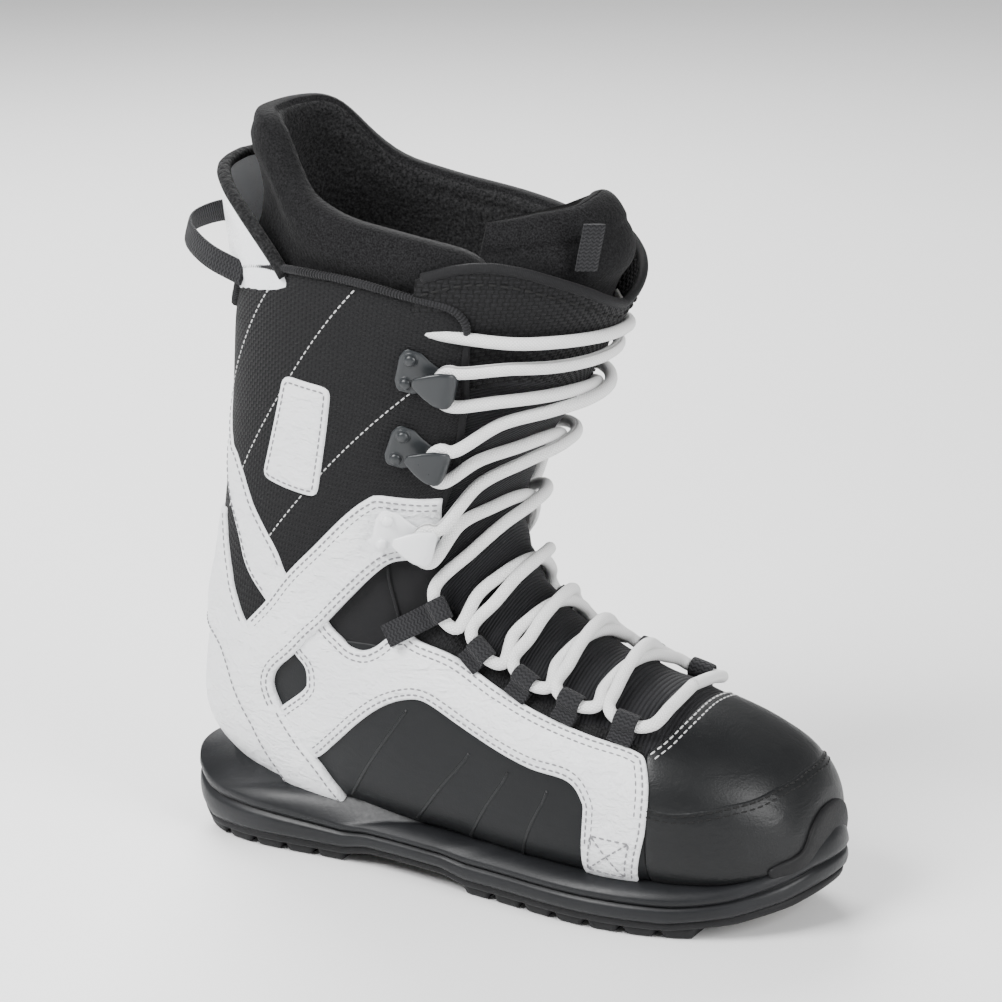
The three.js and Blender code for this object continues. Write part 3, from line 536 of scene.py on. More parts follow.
# ---------------------------------------------------------------- materials
class Shader:
    """Builds one node material around its principled shader."""

    def __init__(self, name, rough=.6, colour=(.5, .5, .5), **more):
        self.material = bpy.data.materials.new(name)
        self.material.use_nodes = True
        self.tree = self.material.node_tree
        self.shader = self.tree.nodes["Principled BSDF"]
        self.set("Base Color", (*colour, 1))
        self.set("Roughness", rough)
        for key, value in more.items():
            self.set(key.replace("_", " "), value)
        where = self.tree.nodes.new("ShaderNodeTexCoord")
        self.object = where.outputs["Object"]
        self.uv = where.outputs["UV"]

    def set(self, socket, value):
        if isinstance(value, bpy.types.NodeSocket):
            self.tree.links.new(value, self.shader.inputs[socket])
        else:
            self.shader.inputs[socket].default_value = value

    def node(self, kind, inputs=(), **options):
        made = self.tree.nodes.new("ShaderNode" + kind)
        for key, value in options.items():
            setattr(made, key, value)
        for key, value in dict(inputs).items():
            if isinstance(value, bpy.types.NodeSocket):
                self.tree.links.new(value, made.inputs[key])
            else:
                made.inputs[key].default_value = value
        return made

    def noise(self, scale, detail=3, rough=.5, where=None, distortion=0):
        return self.node("TexNoise", {"Vector": where or self.object, "Scale": scale, "Detail": detail,
                                      "Roughness": rough, "Distortion": distortion}).outputs["Fac"]

    def cells(self, scale, where=None, feature="SMOOTH_F1"):
        return self.node("TexVoronoi", {"Vector": where or self.object, "Scale": scale},
                         feature=feature).outputs["Distance"]

    def math(self, operation, a, b=0.0, c=0.0):
        return self.node("Math", {0: a, 1: b, 2: c}, operation=operation).outputs[0]

    def range(self, value, low, high, to_low=0.0, to_high=1.0):
        return self.node("MapRange", {"Value": value, "From Min": low, "From Max": high,
                                      "To Min": to_low, "To Max": to_high}).outputs["Result"]

    def mix(self, share, a, b):
        made = self.node("Mix", data_type="RGBA")
        for socket, value in ((made.inputs["Factor"], share), (made.inputs[6], a), (made.inputs[7], b)):
            if isinstance(value, bpy.types.NodeSocket):
                self.tree.links.new(value, socket)
            else:
                socket.default_value = value if isinstance(value, float) else (*value, 1)
        return made.outputs[2]

    def stretched(self, where, scale):
        return self.node("Mapping", {"Vector": where, "Scale": scale}).outputs["Vector"]

    def bump(self, height, distance, strength=1.0, before=None):
        inputs = {"Height": height, "Distance": distance * MM, "Strength": strength}
        if before is not None:
            inputs["Normal"] = before
        return self.node("Bump", inputs).outputs["Normal"]

    def wave(self, axis_value, pitch):
        """0 to 1 ridges across a coordinate in metres."""
        turns = self.math("MULTIPLY", axis_value, math.pi / (pitch * MM))
        return self.math("ABSOLUTE", self.math("SINE", turns))


def leather(name, light, dark, grain, rough, grain_depth, wrinkle, wrinkle_size=90, gloss=.5):
    s = Shader(name, rough=rough, Specular_IOR_Level=gloss)
    wobble = s.node("VectorMath", {0: s.object, 1: s.node("VectorMath", {
        0: s.node("TexNoise", {"Vector": s.object, "Scale": 420.0}).outputs["Color"], "Scale": .0011},
        operation="SCALE").outputs["Vector"]}, operation="ADD").outputs["Vector"]
    pores = s.cells(grain, wobble)
    folds = s.noise(wrinkle_size, 4, .55, s.stretched(s.object, (1, 1, 2.2)), 1.2)
    fine = s.noise(grain * 2.2, 2)
    patches = s.noise(28, 3)
    s.set("Base Color", s.mix(s.range(patches, .3, .7), light, dark))
    s.set("Roughness", s.range(s.math("ADD", patches, s.math("MULTIPLY", fine, .4)), .3, 1.0,
                               rough - .08, rough + .1))
    normal = s.bump(s.math("POWER", folds, 1.6), wrinkle)
    normal = s.bump(pores, grain_depth, before=normal)
    s.set("Normal", s.bump(fine, grain_depth * .35, before=normal))
    return s.material


def weave(name, colour, other, pitch, depth, sheen=.25):
    s = Shader(name, rough=.75, Sheen_Weight=sheen, Sheen_Roughness=.5, Specular_IOR_Level=.12)
    split = s.node("SeparateXYZ", {0: s.uv})
    x, y = split.outputs["X"], split.outputs["Y"]
    over = s.node("TexChecker", {"Vector": s.uv, "Scale": 1 / (pitch * MM)}).outputs["Fac"]
    warp, weft = s.wave(x, pitch), s.wave(y, pitch)
    high = s.math("ADD", s.math("MULTIPLY", over, warp),
                  s.math("MULTIPLY", s.math("SUBTRACT", 1.0, over), s.math("MULTIPLY", weft, .8)))
    fuzz = s.noise(1800, 2)
    s.set("Base Color", s.mix(s.math("MULTIPLY", high, fuzz), colour, other))
    normal = s.bump(high, depth)
    s.set("Normal", s.bump(fuzz, depth * .5, before=normal))
    return s.material


def ribbed(name, colour, other, pitch, depth, sheen=.3, cross=0.0):
    s = Shader(name, rough=.7, Sheen_Weight=sheen, Sheen_Roughness=.45, Specular_IOR_Level=.14)
    split = s.node("SeparateXYZ", {0: s.uv})
    first, second = split.outputs["X"], split.outputs["Y"]
    if cross:
        ripple = s.math("SINE", s.math("MULTIPLY", second, TAU / (cross * MM)))
        first = s.math("ADD", first, s.math("MULTIPLY", ripple, pitch * MM * .22))
    ribs = s.wave(first, pitch)
    threads = s.wave(second, pitch * .45)
    high = s.math("ADD", ribs, s.math("MULTIPLY", threads, .25))
    fuzz = s.noise(2200, 2)
    s.set("Base Color", s.mix(s.math("MULTIPLY", high, .7), colour, other))
    normal = s.bump(high, depth)
    s.set("Normal", s.bump(fuzz, depth * .3, before=normal))
    return s.material


def knit(name, colour, other, size, depth, sheen=.5):
    s = Shader(name, rough=.9, Sheen_Weight=sheen, Sheen_Roughness=.4, Specular_IOR_Level=.06)
    fuzz = s.noise(size, 4, .65)
    tufts = s.cells(size * .45)
    s.set("Base Color", s.mix(s.range(fuzz, .35, .75), colour, other))
    normal = s.bump(tufts, depth)
    s.set("Normal", s.bump(fuzz, depth * .8, before=normal))
    return s.material


def moulded(name, colour, other, rough, depth, size=900, **more):
    s = Shader(name, rough=rough, **more)
    fine = s.noise(size, 3)
    broad = s.noise(35, 3)
    s.set("Base Color", s.mix(s.range(broad, .35, .7), colour, other))
    s.set("Roughness", s.range(s.math("ADD", broad, fine), .6, 1.4, rough - .07, rough + .09))
    s.set("Normal", s.bump(fine, depth))
    return s.material


def braid(name, colour, other, pitch=1.5):
    s = Shader(name, rough=.75, Sheen_Weight=.02, Sheen_Roughness=.4, Specular_IOR_Level=.2)
    split = s.node("SeparateXYZ", {0: s.uv})
    x, y = split.outputs["X"], split.outputs["Y"]
    one = s.wave(s.math("ADD", x, y), pitch)
    two = s.wave(s.math("SUBTRACT", x, y), pitch)
    high = s.math("MULTIPLY", one, two)
    fuzz = s.noise(2500, 2)
    s.set("Base Color", s.mix(high, other, colour))
    normal = s.bump(high, .28)
    s.set("Normal", s.bump(fuzz, .1, before=normal))
    return s.material


WHITE_LEATHER = leather("white_leather", (.79, .80, .81), (.73, .74, .76), 620.0, .40, .34, 1.5)
BLACK_LEATHER = leather("black_leather", (.005, .0054, .006), (.008, .0085, .009), 1100.0,
                        .38, .06, .35, 60, .26)
SIDE_LEATHER = leather("grey_black_leather", (.0055, .006, .0068), (.0075, .0082, .009), 1300.0,
                       .46, .05, .2, 45, .2)
CUFF_WEAVE = weave("cuff_weave", (.0035, .0035, .004), (.020, .020, .021), 1.15, .3, sheen=.04)
FACING_WEAVE = weave("facing_weave", (.005, .005, .005), (.028, .028, .030), 1.6, .4, sheen=.04)
TONGUE_RIB = ribbed("tongue_rib", (.004, .004, .0045), (.018, .018, .020), 1.3, .3, sheen=.04)
STRETCH = ribbed("stretch_fabric", (.005, .005, .0055), (.014, .014, .015), .7, .1, sheen=.03)
WEBBING = ribbed("webbing", (.005, .005, .006), (.028, .028, .030), 1.7, .4, sheen=.05, cross=2.6)
PIPING = ribbed("piping", (.005, .005, .005), (.022, .022, .024), 1.4, .4, sheen=.05)
LINER_KNIT = knit("liner_knit", (.003, .003, .0032), (.022, .022, .023), 1300.0, .3, .05)
FLEECE = knit("liner_fleece", (.004, .004, .0042), (.034, .034, .035), 900.0, .8, .08)
RUBBER = moulded("rubber", (.009, .009, .0095), (.014, .014, .015), .55, .09, Specular_IOR_Level=.16)
FOAM_CUP = moulded("midsole", (.008, .0085, .0095), (.012, .0125, .014), .40, .05, 700,
                   Specular_IOR_Level=.24)
LACE = braid("lace", (.86, .86, .85), (.66, .66, .66))
HOOK_DARK = moulded("hook_metal", (.016, .018, .020), (.022, .025, .027), .33, .05, 600,
                    Specular_IOR_Level=.4)
HOOK_WHITE = moulded("hook_white", (.80, .81, .82), (.74, .75, .77), .33, .03, 500, Coat_Weight=.3)
SATIN = moulded("white_satin", (.86, .87, .89), (.80, .82, .85), .28, .05, 1500, Sheen_Weight=.3)
GREY_THREAD = braid("grey_thread", (.34, .34, .35), (.20, .20, .21), .5)
WHITE_THREAD = braid("white_thread", (.75, .75, .75), (.5, .5, .5), .5)
BLACK_THREAD = braid("black_thread", (.022, .022, .024), (.01, .01, .01), .5)
BOARD = moulded("board", (.24, .21, .16), (.30, .27, .21), .9, .2, 500)
STEEL = moulded("steel", (.55, .56, .58), (.45, .46, .48), .3, .03, 1200, Metallic=1.0)
PLASTIC = moulded("stiffener_plastic", (.66, .66, .63), (.58, .58, .56), .45, .05)

CAD_LOOKS = {
    "shank": STEEL, "lasting_board": BOARD, "footbed": LINER_KNIT, "toe_stiffener": PLASTIC,
    "heel_stiffener": PLASTIC, "tongue_stiffener": PLASTIC,
}


def bends(thing, *nodes, slot=None):
    """A soft piece: its placing is baked into its mesh and the CAD parts it replaces are hidden."""
    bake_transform(thing)
    if nodes:
        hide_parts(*nodes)
    return thing


def rides(thing, body, *nodes, slot=None):
    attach(thing, body)
    if nodes:
        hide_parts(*nodes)
    return thing


def on_form_curve(points, closed=False, step=2.0):
    """A smooth line through stations and angles. A third value of 1 marks a sharp corner."""
    scaled = [(p[0] * 36, p[1] * 48, *p[2:]) for p in points]
    return smooth_line(scaled, step, closed) / [36, 48]


def smoothstep(low, high, x):
    u = np.clip((x - low) / (high - low), 0, 1)
    return u * u * (3 - 2 * u)


BACK = math.pi

# ---------------------------------------------------------------- sewing lines, station and angle
STRAP_TOP = [(10.68, .90), (10.93, 1.04), (11.44, 1.33), (11.48, 1.42), (11.39, 1.52), (11.14, 1.69),
             (10.95, 1.86), (10.76, 1.98), (10.65, 2.13)]
STRAP_BOTTOM = [(9.38, .86), (9.89, 1.07), (10.03, 1.15), (10.05, 1.23), (9.96, 1.41), (9.89, 1.56),
                (9.88, 1.65), (9.84, 1.80), (9.84, 1.91), (9.74, 1.98), (9.46, 2.03)]
SPUR_FRONT = [(10.65, 2.13), (10.87, 2.21), (11.17, 2.30), (11.40, 2.36), (12.02, 2.56)]
LEG_FRONT = [(9.46, 2.03), (8.75, 2.16), (8.43, 2.30), (8.28, 2.43), (8.25, 2.58)]
LEG_REAR = [(11.0, BACK), (10.90, 2.72), (10.62, 2.42), (10.19, 2.25), (9.68, 2.25), (9.32, 2.34),
            (8.98, 2.48), (8.97, 2.64)]
QUARTER_OUTER = [(10.12, 1.56), (9.89, 1.56), (9.56, 1.53), (9.32, 1.51), (9.13, 1.46), (9.03, 1.39),
                 (8.97, 1.30), (8.89, 1.25), (8.71, 1.19), (8.46, 1.16), (7.64, 1.02), (6.70, .96),
                 (5.85, .93), (4.93, .90), (4.35, .88), (4.12, .96), (4.02, 1.35), (4.29, 2.31),
                 (4.33, 2.46)]
QUARTER_INNER = [(5.06, 2.46), (4.95, 1.60), (4.96, 1.42), (5.20, 1.31), (5.87, 1.35), (7.01, 1.36),
                 (7.80, 1.39), (8.17, 1.49), (8.40, 1.63), (8.55, 1.81), (8.65, 2.00), (8.75, 2.16),
                 (8.98, 2.26)]
DIAMOND_EDGE = [(9.46, 2.12), (9.46, 2.03), (9.40, 1.87), (9.45, 1.82), (9.61, 1.78), (9.83, 1.79),
                (10.12, 1.80)]
REAR_LOWER = [(10.62, 1.93), (11.03, 2.09), (11.36, 2.21), (11.80, 2.35), (12.35, 2.62), (12.76, 2.88),
              (12.92, BACK)]
REAR_UPPER = [(10.80, 1.80), (10.95, 1.86), (11.31, 1.95), (11.66, 2.07), (12.00, 2.20), (12.33, 2.32),
              (12.58, 2.45), (12.64, 2.52), (12.95, 2.70), (13.30, 2.92), (13.45, BACK)]
CUFF_TOP = [(13.92, BACK), (13.94, 2.76), (14.08, 2.60), (14.38, 2.45), (14.50, 2.24), (14.52, 1.97),
            (14.47, 1.68), (14.30, 1.37), (14.17, 1.19), (13.95, 1.10), (13.68, 1.07)]
CUFF_FRONT = [(13.68, 1.07), (13.29, 1.05), (12.56, .99), (12.29, .98), (11.76, .94), (11.33, .90),
              (10.81, .88), (10.2, .88)]
VAMP_SEAM = [(4.16, .86), (3.98, .66), (3.86, .34), (3.85, 0)]
RAND_SEAM = [(4.05, 1.30), (3.55, 1.29), (2.84, 1.15), (2.15, .93), (1.68, .48), (1.58, 0)]


def both_sides(make):
    """Makes a piece for the lateral side and its mirror image for the medial side."""
    for side, word in ((LATERAL, "lateral"), (MEDIAL, "medial")):
        make(side, word, (lambda line: line) if side == LATERAL else mirrored)


def trimmed(line, low, high):
    """The stretch of an open line between two shares of its length."""
    line = resampled(line, 1.0, closed=False)
    n = len(line)
    return line[int(low * n):max(int(high * n), int(low * n) + 2)]


def sewn(name, line, insets, off, thread, flip=lambda x: x, low=0.0, high=1.0, **stitch):
    """Rows of stitches beside a lateral line, at distances to its left seen from outside."""
    runs = []
    for inset in insets:
        part = trimmed(line, low, high)
        height = off(part) if callable(off) else off
        runs.append((flip(moved_in(part, inset, closed=False)), height))
    return dashes(name, runs, thread, **stitch)


def harness_height(line):
    """The strap lies higher where it crosses the quarter and the heel counter."""
    t = line[:, 0]
    turn = np.abs(line[:, 1] - BACK)
    low_part = 1 - smoothstep(10.0, 10.6, t)
    back_part = (1 - smoothstep(11.15, 11.6, t)) * (1 - smoothstep(.55, .8, turn))
    return 1.5 * np.maximum(low_part, back_part)


# ---------------------------------------------------------------- foot of the shell
def rim_height(x):
    return (26.5 + 10 * np.clip((-60 - x) / 60, 0, 1) + 9 * np.clip((-125 - x) / 25, 0, 1)
            + 14 * np.clip((x - 110) / 45, 0, 1) ** 2)


vamp_outline = round_the_front(on_form_curve(VAMP_SEAM))
rand_line = round_the_front(on_form_curve(RAND_SEAM))


def front_loop(back_edge, front_edge):
    """A closed outline from a seam nearer the throat and one nearer the toe, both over the toe."""
    return np.vstack([back_edge, front_edge[::-1]])


vamp = panel("toe_vamp", front_loop(vamp_outline, moved_in(rand_line, -3, closed=False)),
             BLACK_LEATHER, -1.4, 1.4, polar=True, puff=.5)
bends(vamp, "vamp", slot="black_leather")

toe_sole = on_form_curve([(4.10, 2.40), (3.4, 2.42), (2.4, 2.42), (1.5, 2.5), (.9, 2.75), (.72, BACK)])
toe_sole_round = np.vstack([toe_sole, np.stack([toe_sole[:, 0], -toe_sole[:, 1]], 1)[::-1]])
rand = panel("toe_rand_leather", front_loop(rand_line, toe_sole_round), BLACK_LEATHER, -1.4, 2.0,
             polar=True, puff=.4)
bends(rand, "toe_rand", slot="black_leather")

bends(sewn("vamp_stitches", vamp_outline, (-1.6, -4.4), .2, WHITE_THREAD, length=2.6), slot="white_leather")
bends(sewn("rand_stitches", rand_line, (-1.8, -4.4), .85, BLACK_THREAD, length=2.8), slot="black_leather")

SIDE_PANEL = [(4.02, 1.05, 1), (6.0, 1.12), (8.0, 1.2), (8.9, 1.35), (10.0, 1.72), (10.15, 1.95),
              (9.7, 2.2), (9.1, 2.5, 1), (8.6, 2.52), (7.0, 2.45), (5.0, 2.44), (4.1, 2.42, 1)]
GROOVES = [((8.03, 1.52), (8.22, 2.38)), ((6.86, 1.50), (7.42, 2.36)), ((6.16, 1.47), (6.72, 2.36)),
           ((5.50, 1.46), (5.98, 2.36))]


def make_side_panel(side, word, flip):
    outline = flip(on_form_curve(SIDE_PANEL, closed=True))
    piece = panel(f"side_leather_{word}", outline, SIDE_LEATHER, -1.4, 1.4, puff=.5)
    bends(piece, f"side_panel_{word}", slot="black_leather")
    for i, (top, low) in enumerate(GROOVES):
        middle = ((top[0] + low[0]) / 2 + .02, (top[1] + low[1]) / 2)
        line = flip(on_form_curve([top, middle, low], step=1.5))
        path = on_form(line[:, 0], line[:, 1], .42)
        normal = outward(line[:, 0], line[:, 1])
        bead = tube(f"side_seam_{word}_{i + 1}", path, .8, BLACK_LEATHER, 8, normal, .45)
        bends(bead, slot="black_leather")


both_sides(make_side_panel)


def make_quarter(side, word, flip):
    outer = on_form_curve(QUARTER_OUTER)
    inner = on_form_curve(QUARTER_INNER)
    edge = on_form_curve(DIAMOND_EDGE)
    outline = np.vstack([outer, inner, edge])
    piece = panel(f"quarter_leather_{word}", flip(outline), WHITE_LEATHER, -.6, 2.5, puff=.6)
    bends(piece, f"quarter_{word}", slot="white_leather")
    rows = [sewn(f"quarter_outer_stitches_{word}", outer, (-2.2, -4.9), 2.05, GREY_THREAD, flip, .03, .83),
            sewn(f"quarter_inner_stitches_{word}", inner, (-2.2, -4.9), 2.05, GREY_THREAD, flip, .12, .93),
            sewn(f"quarter_toe_stitches_{word}", outer, (-2.2,), 2.0, GREY_THREAD, flip, .83, .955),
            sewn(f"diamond_stitches_{word}", edge, (-2.0, -4.4), 2.0, GREY_THREAD, flip, .1, .95)]
    box = [[(4.28, 1.72), (4.82, 1.74)], [(4.82, 1.74), (4.93, 2.18)], [(4.93, 2.18), (4.42, 2.19)],
           [(4.42, 2.19), (4.28, 1.72)], [(4.28, 1.72), (4.93, 2.18)], [(4.82, 1.74), (4.42, 2.19)]]
    for k, ends in enumerate(box):
        rows.append(sewn(f"box_stitch_{word}_{k}", on_form_curve(ends), (0,), 2.45, GREY_THREAD, flip))
    bends(joined(f"quarter_stitches_{word}", rows), slot="white_leather")


both_sides(make_quarter)

counter_side = on_form_curve([(11.3, BACK, 1), (11.2, 2.72), (10.75, 2.38), (10.2, 2.17), (9.6, 2.17),
                              (9.2, 2.27), (8.85, 2.42), (8.85, 2.6, 1), (9.2, 2.75), (9.5, 2.95),
                              (9.58, BACK, 1)])
counter = np.vstack([counter_side, mirrored(counter_side)[::-1][1:-1]])
bends(panel("heel_counter_leather", counter, WHITE_LEATHER, -1.4, 3.2, puff=.5),
      "heel_counter", "heel_shell", slot="white_leather")

# ---------------------------------------------------------------- harness and rear strap
harness_side = np.vstack([
    on_form_curve(STRAP_TOP), on_form_curve(SPUR_FRONT), on_form_curve([(12.02, 2.56), (12.05, BACK)])])
leg_side = np.vstack([
    on_form_curve(LEG_REAR), on_form_curve([(8.97, 2.64), (8.25, 2.58)]),
    on_form_curve(LEG_FRONT)[::-1], on_form_curve(STRAP_BOTTOM)[::-1],
    on_form_curve([(9.38, .86), (10.0, .845), (10.68, .90)])])
harness_outline = np.vstack([harness_side, mirrored(harness_side)[::-1],
                             mirrored(leg_side)[::-1], leg_side])
harness = panel("harness_leather", harness_outline, WHITE_LEATHER, -.6, 2.9, puff=.7, relief=harness_height)
bends(harness, "harness_lower", "harness_strap_lateral", "harness_strap_medial", "harness_spur",
      slot="white_leather")


def strap_off(extra):
    return lambda line: 2.3 + extra + harness_height(line)


def make_harness_stitches(side, word, flip):
    top = on_form_curve(STRAP_TOP)
    bottom = on_form_curve(STRAP_BOTTOM)
    front = on_form_curve(LEG_FRONT)
    rear = on_form_curve(LEG_REAR)
    spur = on_form_curve(SPUR_FRONT)
    rows = [
        sewn(f"strap_top_{word}", top, (2.2, 4.9), strap_off(.2), GREY_THREAD, flip, .02, .97),
        sewn(f"strap_bottom_{word}", bottom, (-2.2, -4.9), strap_off(.2), GREY_THREAD, flip, .08, .99),
        sewn(f"leg_front_{word}", front, (-2.2,), strap_off(.2), GREY_THREAD, flip, .02, .95),
        sewn(f"leg_rear_{word}", rear, (2.2,), strap_off(.1), GREY_THREAD, flip, .02, .95),
        sewn(f"spur_{word}", spur, (2.2,), strap_off(.1), GREY_THREAD, flip, .03, .97),
    ]
    bends(joined(f"harness_stitches_{word}", rows), slot="white_leather")


both_sides(make_harness_stitches)


def closed_back(upper, lower):
    """A closed outline of a band round the back from its upper and lower lateral edges, front to back."""
    return np.vstack([upper, mirrored(upper)[::-1][1:], mirrored(lower), lower[::-1][1:]])


rear_upper = on_form_curve(REAR_UPPER)
rear_lower = on_form_curve(REAR_LOWER)
rear = panel("rear_strap_leather", closed_back(rear_upper, rear_lower), WHITE_LEATHER, -.6, 2.1, puff=.5)
bends(rear, "rear_strap", slot="white_leather")


def make_rear_stitches(side, word, flip):
    rows = [sewn(f"rear_upper_{word}", rear_upper, (2.2,), 1.65, GREY_THREAD, flip, .08, 1),
            sewn(f"rear_lower_{word}", rear_lower, (-2.2,), 1.65, GREY_THREAD, flip, .08, 1)]
    bends(joined(f"rear_strap_stitches_{word}", rows), slot="white_leather")


both_sides(make_rear_stitches)

# ---------------------------------------------------------------- cuff
cuff_side_top = on_form_curve(CUFF_TOP)
cuff_side_front = on_form_curve(CUFF_FRONT)
cuff_side_low = on_form_curve([(10.2, .88), (10.25, 1.3), (10.2, 1.9), (10.3, 2.25), (10.9, 2.55),
                               (11.4, BACK)])
cuff_half = np.vstack([cuff_side_top, cuff_side_front, cuff_side_low])
cuff_outline = np.vstack([cuff_half, mirrored(cuff_half)[::-1]])
cuff = panel("cuff_fabric", cuff_outline, CUFF_WEAVE, -1.6, 1.6, grid=4.5, puff=.8)
bends(cuff, "cuff_lateral", "cuff_medial", slot="black_mesh")

CUFF_DIAGONALS = [[(12.02, 2.50), (13.2, 2.06), (14.40, 1.66)],
                  [(11.25, 2.18), (12.2, 1.70), (13.20, 1.20)],
                  [(12.95, 2.80), (13.6, 2.45), (14.35, 2.15)]]


def make_cuff_trim(side, word, flip):
    rows = [sewn(f"cuff_diagonal_{word}_{k}", on_form_curve(p), (0,), .6, WHITE_THREAD, flip,
                 length=2.4, gap=1.0)
            for k, p in enumerate(CUFF_DIAGONALS)]
    bends(joined(f"cuff_stitches_{word}", rows), slot="white_leather")
    edge = flip(resampled(cuff_side_front[:int(.97 * len(cuff_side_front))], 2.0, closed=False))
    fold = tube(f"cuff_front_edge_{word}", on_form(edge[:, 0], edge[:, 1], -.5), 1.7, STRETCH, 10,
                outward(edge[:, 0], edge[:, 1]), .8)
    bends(fold, slot="black_mesh")


both_sides(make_cuff_trim)


def make_binding(side, word, flip):
    line = flip(resampled(cuff_side_top, .5, closed=False))
    lean = smoothstep(0, 1, np.arange(len(line)) / 6) * smoothstep(0, 1, np.arange(len(line))[::-1] / 6)
    path = on_form(line[:, 0] + .03, line[:, 1], .2)
    roll = tube(f"cuff_piping_{word}", path, 1.75 * (.5 + .5 * lean), PIPING, 10,
                outward(line[:, 0], line[:, 1]), 1.15, ribs=(1.45, .10))
    bends(roll, f"cuff_binding_{word}", slot="webbing")


both_sides(make_binding)

BADGE = [(13.38, 2.05, 1), (13.19, 1.75, 1), (11.82, 1.74, 1), (12.29, 2.14, 1)]


def rounded(points, radius):
    """A closed outline with its corners rounded."""
    p = np.array([q[:2] for q in points], float) * [36, 48]
    line = []
    for before, at, after in zip(np.roll(p, 1, 0), p, np.roll(p, -1, 0)):
        to_before = (before - at) / np.linalg.norm(before - at) * radius
        to_after = (after - at) / np.linalg.norm(after - at) * radius
        for u in np.linspace(0, 1, 5):
            line.append(at + (1 - u) ** 2 * to_before + u ** 2 * to_after)
    return np.array(line) / [36, 48]


badge_outline = rounded(BADGE, 3.5)
badge = panel("badge_leather", badge_outline, WHITE_LEATHER, -.3, 2.2, puff=.4)
bends(badge, "badge", slot="white_leather")
badge_ring = resampled(badge_outline, 1.5)
inner_ring = moved_in(badge_ring, 2.4 if signed_area(flat_map(badge_ring, False)) > 0 else -2.4)
bends(dashes("badge_stitches", [(np.vstack([inner_ring, inner_ring[:1]]), 1.95)], GREY_THREAD),
      slot="white_leather")

# ---------------------------------------------------------------- ankle gusset and facing
GUSSET = [(8.7, 1.6, 1), (8.55, 1.2), (8.5, .98, 1), (9.2, .86), (10.3, .88, 1), (10.3, 1.3),
          (10.15, 1.62, 1), (9.4, 1.62)]


def make_gusset(side, word, flip):
    outline = flip(on_form_curve(GUSSET, closed=True))
    bends(panel(f"gusset_fabric_{word}", outline, STRETCH, -2.6, 1.5, puff=.8),
          f"ankle_gusset_{word}", slot="black_mesh")
    seam = flip(on_form_curve([(8.75, 1.22), (9.4, 1.18), (10.2, 1.17)], step=1.5))
    bends(tube(f"gusset_seam_{word}", on_form(seam[:, 0], seam[:, 1], .75), .7, STRETCH, 8,
               outward(seam[:, 0], seam[:, 1]), .5), slot="black_mesh")
    strip = on_form_curve([(4.25, .90), (4.9, .96), (5.9, .98), (6.7, 1.0), (7.7, 1.06), (8.6, 1.2),
                           (9.0, 1.3)])
    throat = on_form_curve([(9.3, 1.0), (8.6, .93), (7.6, .82), (6.7, .77), (5.85, .745), (4.95, .72),
                            (4.2, .70)])
    facing = panel(f"facing_{word}", flip(np.vstack([strip, throat])), FACING_WEAVE, -2.6, 1.5)
    bends(facing, slot="black_mesh")
    rows = sewn(f"facing_stitches_{word}", throat, (2.0,), -.9, BLACK_THREAD, flip)
    bends(rows, slot="black_mesh")


both_sides(make_gusset)

# ---------------------------------------------------------------- tongue
TONGUE_FOOT = 3.75
TONGUE_SEAM = .82              # share of the height above which the tongue is mesh
TONGUE_RIM = ((0, .25, .5, .7, .9, 1.1, 1.3, 1.5), (13.87, 14.07, 14.38, 14.60, 14.80, 14.86, 14.68, 14.45))


def tongue_top(angle):
    """The rim stands high beside the shin and dips in front."""
    around = np.abs(angle)
    return sum(np.interp(around + d, *TONGUE_RIM) for d in (-.08, 0, .08)) / 3


def tongue_off(t, angle):
    """The tongue drops under the shell's edges and swells at its top."""
    tuck = smoothstep(.70, .98, np.abs(angle)) * (1 - smoothstep(13.5, 14.3, t))
    below = tongue_top(angle) - t
    swell = 1.6 * (1 - smoothstep(.3, .9, below))
    ripple = .35 * np.sin(t * 9 + 1.5 * np.cos(angle * 3)) * (1 - smoothstep(12.8, 13.6, t))
    return -.3 - 2.6 * tuck + swell + ripple


def make_tongue():
    angles = np.linspace(-1.36, 1.36, 61)
    shares = np.linspace(0, 1, 150)
    a = angles[:, None] + 0 * shares[None, :]
    t = TONGUE_FOOT + shares[None, :] * (tongue_top(a) - TONGUE_FOOT)
    limit = 1.12 + .24 * smoothstep(13.2, 13.9, t)
    a = a / 1.36 * limit
    top = on_form(t, a, tongue_off(t, a))
    low = on_form(t, a, tongue_off(t, a) - 2.4 * (1 - (a / limit) ** 8))
    uv = np.stack([t * 21, a * 50], -1)
    points = np.concatenate([top, low[:, ::-1]], 1)
    piece = skin("tongue_body", points, TONGUE_RIB, np.concatenate([uv, uv[:, ::-1]], 1), capped=False)
    data = face_out(piece).data
    data.materials.append(TONGUE_MESH)
    mesh_from = int(TONGUE_SEAM * len(shares))
    data.polygons.foreach_set("material_index", [
        int(k % (2 * len(shares)) >= mesh_from) if k < (len(angles) - 1) * 2 * len(shares) else 0
        for k in range(len(data.polygons))])
    return piece


TONGUE_MESH = weave("tongue_mesh", (.0025, .0025, .0025), (.022, .022, .024), 1.5, .5, sheen=.04)
bends(make_tongue(), "tongue_lower", "tongue_upper", "tongue_flex", slot="tongue_fabric")

